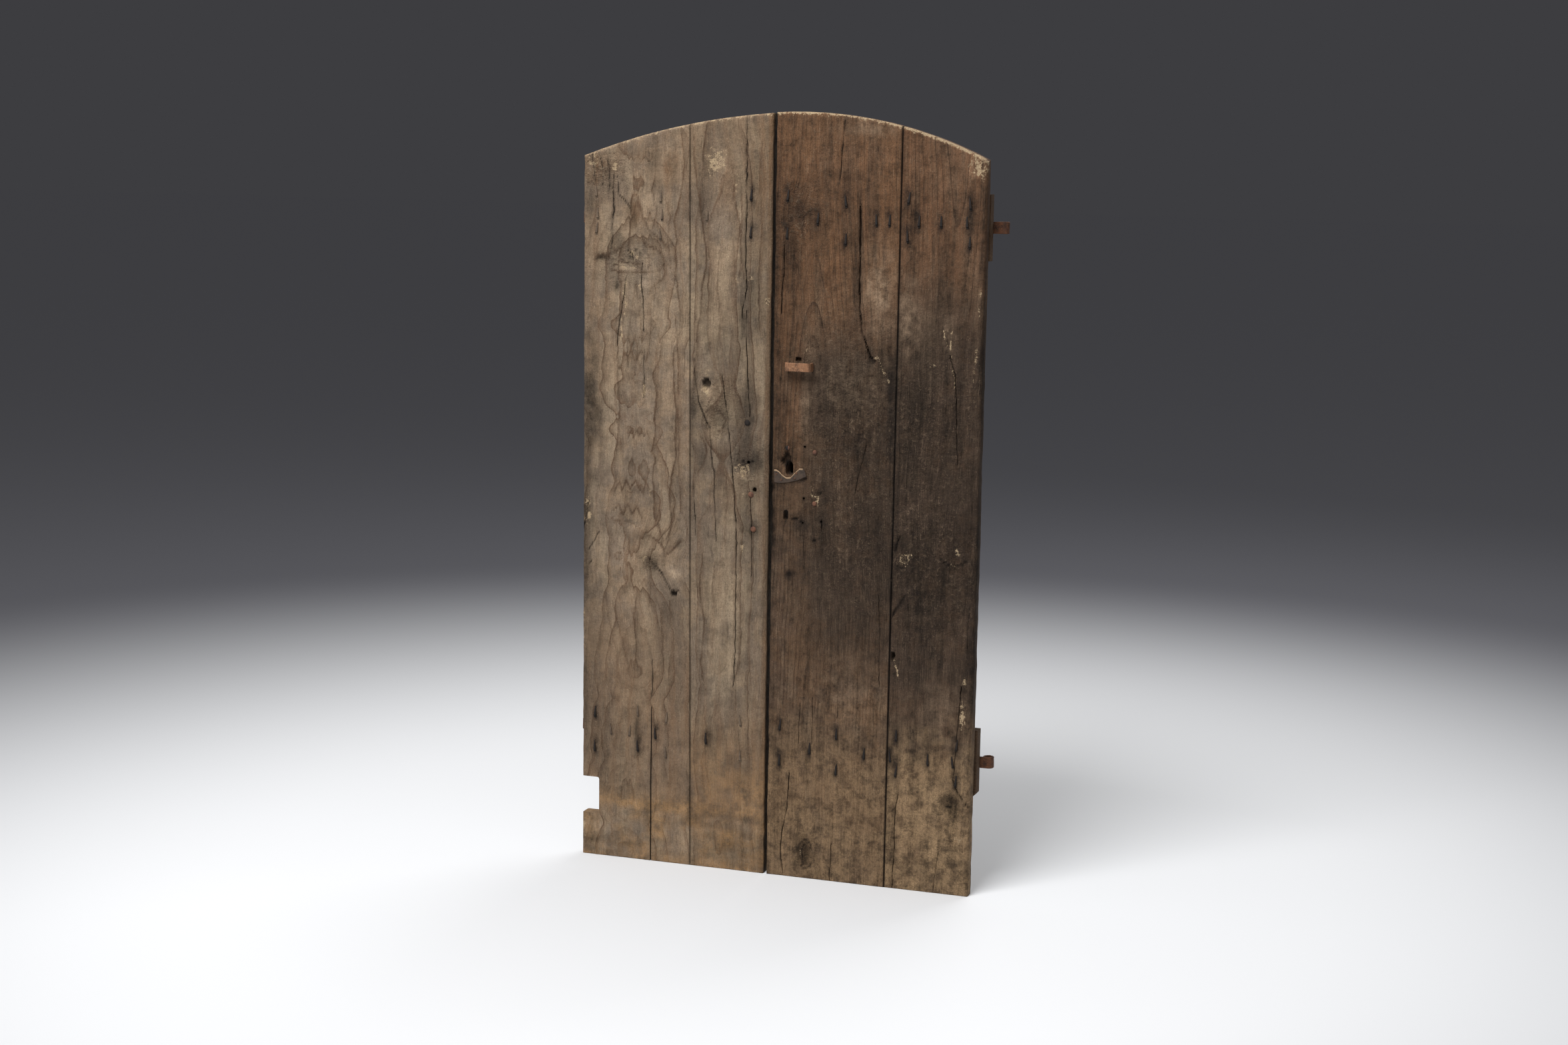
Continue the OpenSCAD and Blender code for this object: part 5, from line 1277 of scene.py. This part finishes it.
# Hinge straps: flat bars of forged iron, drawn out thinner to the tip and rolled into an eye at the hanging
# edge, where the eye drops over a wall pintle. They are nailed through batten and board.
def rusty_iron(name, deep, brown, bright, bright_share=0.5, shine=0.78, rim=None):
    """Old forged iron with a crust of rust: dark in the hollows, brown and orange where it flakes. A rim
    colour is a painted highlight along the rim field.
    """
    made, tree, shader = surface(name)
    place_mm, _ = millimetres(tree)
    crust = noise_of(tree, place_mm, 0.055, 7.0, 0.65)
    flake = noise_of(tree, place_mm, 0.42, 5.0, 0.6)
    colour = blended(tree, ranged(tree, crust, 0.34, 0.6), deep, brown)
    colour = blended(tree, ranged(tree, flake, 0.48, 0.7, 0.0, bright_share), colour, bright)
    colour = blended(tree, ranged(tree, flake, 0.42, 0.26, 0.0, 0.6), colour, deep)
    if rim:
        rim_highlight = product(tree, field_of(tree, "rim"), ranged(tree, flake, 0.3, 0.5, 0.4, 1.0))
        colour = blended(tree, rim_highlight, colour, rim)
    joined(tree, shader.inputs["Base Color"], colour)
    joined(tree, shader.inputs["Roughness"], ranged(tree, crust, 0.3, 0.7, shine - 0.1, shine + 0.14))
    shader.inputs["Metallic"].default_value = 0.12
    shader.inputs["Specular IOR Level"].default_value = 0.4
    bumped(tree, shader, sum_of(tree, "MULTIPLY_ADD", crust, 1.4, flake), 0.5, 0.0008)
    return made


def forged(node, name, grain, lumps, finish, seed, worn=2):
    """A copy of a solid with hammered faces and worn edges. Its grain is the mesh's step in millimetres."""
    piece = added(name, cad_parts[node].data.copy())
    piece.data.materials.clear()
    skin = piece.modifiers.new("skin", "REMESH")
    skin.mode = "VOXEL"
    skin.voxel_size = grain / 1000
    ease = piece.modifiers.new("ease", "SMOOTH")
    ease.factor = 0.5
    ease.iterations = worn
    mesh = settled(piece)
    at, out = np.zeros(len(mesh.vertices) * 3), np.zeros(len(mesh.vertices) * 3)
    mesh.vertices.foreach_get("co", at)
    mesh.vertices.foreach_get("normal", out)
    at, out = at.reshape(-1, 3), out.reshape(-1, 3)
    x, y, z = at.T * 1000
    blow = drift(x + y, z - 0.6 * y, 15, 15, seed) + 0.6 * drift(x - y, z + 0.8 * y, 5, 5, seed + 60)
    at = at + out * (np.minimum(0.0, (blow - 0.25) * lumps) / 1000)[:, None]
    mesh.vertices.foreach_set("co", at.ravel())
    mesh.materials.clear()
    mesh.materials.append(finish)
    mesh.shade_smooth()
    return piece


strap_rust = rusty_iron("strap_rust", paint(54, 37, 29), paint(100, 65, 45), paint(146, 95, 62))
for k, (node, leaf) in enumerate(on_leaves("upper_hinge_strap", "lower_hinge_strap")):
    strap = forged(node, node + "_forged", 1.5, 0.5, strap_rust, 10 + k)
    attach(strap, leaf)
    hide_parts(node)


# Nails: square forged nails driven from the back through strap, batten and board. Their flat-topped heads
# stay on the back, and their points are hammered over on the front, up along the grain.
nail_rust = rusty_iron("nail_rust", paint(20, 17, 16), paint(36, 29, 26), paint(62, 47, 38), 0.3)
dusty_nail = rusty_iron("dusty_nail", paint(78, 64, 52), paint(106, 90, 74), paint(128, 110, 92), 0.3)


def whole_nails(node):
    """Each nail of a solid: its middle across, its shank's height, its back end, and its point's height."""
    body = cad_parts[node].data
    group = list(range(len(body.vertices)))

    def root(k):
        while group[k] != k:
            group[k] = group[group[k]]
            k = group[k]
        return k

    spots = {}
    for k, v in enumerate(body.vertices):
        first = spots.setdefault(tuple(round(c, 5) for c in v.co), k)
        group[root(k)] = root(first)
    for face in body.polygons:
        for k in face.vertices[1:]:
            group[root(k)] = root(face.vertices[0])
    nails = {}
    for k, v in enumerate(body.vertices):
        nails.setdefault(root(k), []).append(v.co * 1000 - Vector((meeting_x * 1000, front_y * 1000, 0)))
    rows = []
    for points in nails.values():
        at = np.array(points)
        shank = at[(at[:, 1] > 4) & (at[:, 1] < at[:, 1].max() - 5)]
        if not len(shank):
            shank = at[at[:, 1] > at[:, 1].max() - 4]
        middle = (shank[:, 2].min() + shank[:, 2].max()) / 2
        rows.append((shank[:, 0].mean(), middle, at[:, 1].max(), at[at[:, 1] < 0.5][:, 2].max()))
    return sorted(rows)


def nail_mesh(mesh, at_u, at_z, back_end, point_z, draws):
    """One nail: a shank, a bent and thinned point on the front, and a beaten head on the back."""
    lean = draws.uniform(-0.14, 0.14)
    length = point_z - at_z
    run = [(back_end - 2.4, 0.0, 5.0, 5.0), (3.0, 0.0, 5.0, 5.0), (0.2, 0.3, 5.0, 4.8),
           (-1.5, 2.0, 5.0, 3.4),
           (-1.7, 0.35 * length, 4.6, 2.6), (-1.4, 0.7 * length, 3.6, 2.0), (-0.1, length, 1.6, 1.4)]
    rings = []
    for k, (back, up, wide, thick) in enumerate(run):
        ring = []
        for sx, sy in ((-1, -1), (1, -1), (1, 1), (-1, 1)):
            if k < 3:
                corner = (at_u + sx * wide / 2, back, at_z + up + sy * thick / 2)
            elif k == 3:
                corner = (at_u + sx * wide / 2, back - 0.35 * sy * thick,
                          at_z + up + 0.35 * sy * thick - 0.6)
            else:
                corner = (at_u + lean * up + sx * wide / 2, back - sy * thick / 2 + 0.4, at_z + up)
            ring.append(mesh.verts.new(place(*corner)))
        rings.append(ring)
    for low, high in zip(rings[:-1], rings[1:]):
        for k in range(4):
            m = (k + 1) % 4
            mesh.faces.new((low[k], low[m], high[m], high[k]))
    mesh.faces.new(rings[-1])
    mesh.faces.new(rings[0][::-1])
    turn = draws.uniform(0, math.pi / 4)
    discs = []
    for out, radius in ((-3.0, 5.6), (-1.9, 6.4), (-0.8, 4.6)):
        disc = []
        for k in range(10):
            angle = turn + k * math.pi / 5
            far = radius * (1 + draws.uniform(-0.1, 0.1))
            rim = place(at_u + far * math.cos(angle), back_end + out, at_z + far * math.sin(angle))
            disc.append(mesh.verts.new(rim))
        discs.append(disc)
    for low, high in zip(discs[:-1], discs[1:]):
        for k in range(10):
            m = (k + 1) % 10
            mesh.faces.new((low[k], high[k], high[m], low[m]))
    top = mesh.verts.new(place(at_u, back_end - 0.1, at_z))
    for k in range(10):
        mesh.faces.new((discs[-1][k], top, discs[-1][(k + 1) % 10]))
    mesh.faces.new(discs[0])


for k, (node, leaf) in enumerate(on_leaves("batten_nails", "strap_nails")):
    draws = np.random.RandomState(300 + k)
    mesh = bmesh.new()
    for at_u, at_z, back_end, point_z in whole_nails(node):
        before = len(mesh.faces)
        nail_mesh(mesh, at_u, at_z, back_end, point_z, draws)
        if leaf == "left_leaf" and not shows_bare(at_u, (at_z + point_z) / 2):
            mesh.faces.ensure_lookup_table()
            for face in mesh.faces[before:]:
                face.material_index = 1
    bmesh.ops.recalc_face_normals(mesh, faces=mesh.faces)
    made = bpy.data.meshes.new(node + "_driven")
    mesh.to_mesh(made)
    mesh.free()
    made.materials.append(nail_rust)
    made.materials.append(dusty_nail)
    made.shade_smooth()
    made.set_sharp_from_angle(angle=math.radians(40))
    nails = added(made.name, made)
    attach(nails, leaf)
    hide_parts(node)


# Round-headed nails on the front: three hold the keeper through the left leaf and three the lock case
# through the right leaf. Their heads are domed, dished by the hammer and red with rust.
dark_heads = [(35, 1034), (-58, 1086)]
head_rust = rusty_iron("head_rust", paint(70, 46, 36), paint(112, 76, 58), paint(140, 98, 76), 0.4)
for k, (node, leaf) in enumerate([("keeper_nails", "left_leaf"), ("lock_nails", "right_leaf")]):
    heads = forged(node, node + "_forged", 0.8, 0.2, head_rust, 30 + k, 6)
    heads.data.materials.append(nail_rust)
    for face in heads.data.polygons:
        mid_u, mid_z = 1000 * (face.center.x - meeting_x), 1000 * face.center.z
        if any(abs(mid_u - at_u) < 9 and abs(mid_z - at_z) < 9 for at_u, at_z in dark_heads):
            face.material_index = 1
    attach(heads, leaf)
    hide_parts(node)


# Pull staple: a strip of flat iron bent twice and driven into the board by its two legs, rubbed to a light
# orange-brown by hands.
pull_rust = rusty_iron("pull_rust", paint(92, 64, 46), paint(138, 98, 70), paint(180, 138, 104), 0.6, 0.66)
pull = forged("pull_staple", "pull_staple_forged", 0.9, 0.35, pull_rust, 40)
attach(pull, "right_leaf")
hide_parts("pull_staple")


# Keyhole plate: what is left of a sheet-iron plate round the keyhole, torn above and bent up at its end,
# held by four small rivets.
# The rim colour is a painted highlight along the torn top edge, where the lifted sheet catches the light from
# above.
plate_rust = rusty_iron("plate_rust", paint(50, 41, 35), paint(76, 62, 52), paint(98, 80, 66), 0.35,
                        rim=paint(166, 138, 108))
plate = forged("keyhole_plate", "keyhole_plate_torn", 0.6, 0.12, plate_rust, 50)
# The rim field: 1 along the torn top edge, for that painted highlight.
u, _, z = points_of(plate)
columns = ((u - u.min()) / 2).astype(int)
torn_edge = np.full(columns.max() + 1, -1e6)
np.maximum.at(torn_edge, columns, z)
plate_top_highlight = plate.data.attributes.new("rim", "FLOAT", "POINT")
plate_top_highlight.data.foreach_set("value", eased(torn_edge[columns] - z, 4.2, 2.0) * eased(u, 84, 78))
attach(plate, "right_leaf")
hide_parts("keyhole_plate")
rivet_rust = rusty_iron("rivet_rust", paint(62, 44, 34), paint(98, 68, 50), paint(120, 86, 64), 0.4)
rivets = forged("keyhole_plate_rivets", "keyhole_plate_rivets_forged", 0.5, 0.15, rivet_rust, 51, 4)
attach(rivets, "right_leaf")
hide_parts("keyhole_plate_rivets")


# Rim lock on the back: a case of folded sheet iron, its bolt in a guide under a leaf spring, and the keeper
# on the other leaf that takes the bolt. All of it is cut and filed from sheet and bar.
lock_rust = rusty_iron("lock_rust", paint(40, 31, 27), paint(70, 51, 41), paint(104, 73, 54), 0.4, 0.7)


def filed(node, name, edge, finish):
    """A copy of a solid with its sharp edges eased by a file."""
    piece = added(name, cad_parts[node].data.copy())
    shape = bmesh.new()
    shape.from_mesh(piece.data)
    bmesh.ops.remove_doubles(shape, verts=shape.verts, dist=1e-5)
    bmesh.ops.dissolve_limit(shape, angle_limit=0.01, verts=shape.verts, edges=shape.edges)
    shape.to_mesh(piece.data)
    shape.free()
    ease = piece.modifiers.new("ease", "BEVEL")
    ease.width = edge / 1000
    ease.segments = 2
    ease.limit_method = "ANGLE"
    ease.angle_limit = math.radians(40)
    piece.data.materials.clear()
    piece.data.materials.append(finish)
    piece.data.shade_smooth()
    piece.data.set_sharp_from_angle(angle=math.radians(35))
    return piece


for node, body in [("lock_case", "right_leaf"), ("bolt_guide", "right_leaf"), ("bolt_spring", "right_leaf"),
                   ("lock_bolt", "lock_bolt"), ("bolt_keeper", "left_leaf")]:
    iron = filed(node, node + "_filed", 0.5, lock_rust)
    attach(iron, body)
    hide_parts(node)


# Stage: a pale floor that darkens with distance into a plain grey ground, one wide soft lamp above and in
# front, a weak one behind for the backs of the leaves, and the camera at the photograph's place.
floor_mesh = bpy.data.meshes.new("floor")
floor_mesh.from_pydata([(-60, -60, 0), (60, -60, 0), (60, 60, 0), (-60, 60, 0)], [], [(0, 1, 2, 3)])
floor = added("floor", floor_mesh)
ground, tree, shader = surface("pale_floor")
own = tree.nodes.new("ShaderNodeTexCoord")
reach = tree.nodes.new("ShaderNodeVectorMath")
reach.operation = "LENGTH"
joined(tree, reach.inputs[0], own.outputs["Object"])
far = ranged(tree, reach.outputs["Value"], 1.2, 4.4)
joined(tree, shader.inputs["Base Color"], blended(tree, far, paint(231, 232, 234), paint(103, 103, 108)))
shader.inputs["Roughness"].default_value = 0.8
shader.inputs["Specular IOR Level"].default_value = 0.0
floor_mesh.materials.append(ground)

for lamp_name, lamp_at, wide, deep, energy in (
    ("wide_lamp", (-0.7, -2.9, 4.8), 2.6, 2.0, 270),
    ("back_lamp", (0.9, 3.4, 4.0), 3.0, 3.0, 80),
):
    lamp_data = bpy.data.lights.new(lamp_name, "AREA")
    lamp_data.shape = "RECTANGLE"
    lamp_data.size = wide
    lamp_data.size_y = deep
    lamp_data.energy = energy
    lamp = added(lamp_name, lamp_data)
    lamp.location = lamp_at
    lamp.rotation_euler = (Vector((0.0, 0.0, 0.9)) - lamp.location).to_track_quat("-Z", "Y").to_euler()

sky = bpy.data.worlds.new("plain_ground")
sky.use_nodes = True
tree = sky.node_tree
tree.nodes.clear()
ways = tree.nodes.new("ShaderNodeLightPath")
soft = tree.nodes.new("ShaderNodeBackground")
soft.inputs["Color"].default_value = (1.0, 1.0, 1.0, 1.0)
soft.inputs["Strength"].default_value = 0.34
seen = tree.nodes.new("ShaderNodeBackground")
seen.inputs["Color"].default_value = paint(61, 61, 64)
seen.inputs["Strength"].default_value = 1.0
either = tree.nodes.new("ShaderNodeMixShader")
out = tree.nodes.new("ShaderNodeOutputWorld")
shown = tree.nodes.new("ShaderNodeMath")
shown.operation = "MAXIMUM"
joined(tree, shown.inputs[0], ways.outputs["Is Camera Ray"])
joined(tree, shown.inputs[1], ways.outputs["Is Glossy Ray"])
joined(tree, either.inputs[0], shown.outputs[0])
tree.links.new(soft.outputs[0], either.inputs[1])
tree.links.new(seen.outputs[0], either.inputs[2])
tree.links.new(either.outputs[0], out.inputs[0])
bpy.context.scene.world = sky
bpy.context.scene.view_settings.view_transform = "Standard"

camera_data = bpy.data.cameras.new("camera")
camera_data.sensor_width = 36.0
camera_data.lens = 55.08
camera_data.clip_end = 200.0
camera = added("camera", camera_data)
ahead = Vector((-0.3112, 0.9376, -0.1549)).normalized()
level = Vector((0.9491, 0.3150, 0.0)).normalized()
over = level.cross(ahead)
roll = math.radians(0.89)
right = math.cos(roll) * level + math.sin(roll) * over
top = right.cross(ahead)
turned = Matrix((right, top, -ahead)).transposed().to_4x4()
camera.matrix_world = Matrix.Translation((1.770, -5.302, 1.726)) @ turned
bpy.context.scene.camera = camera
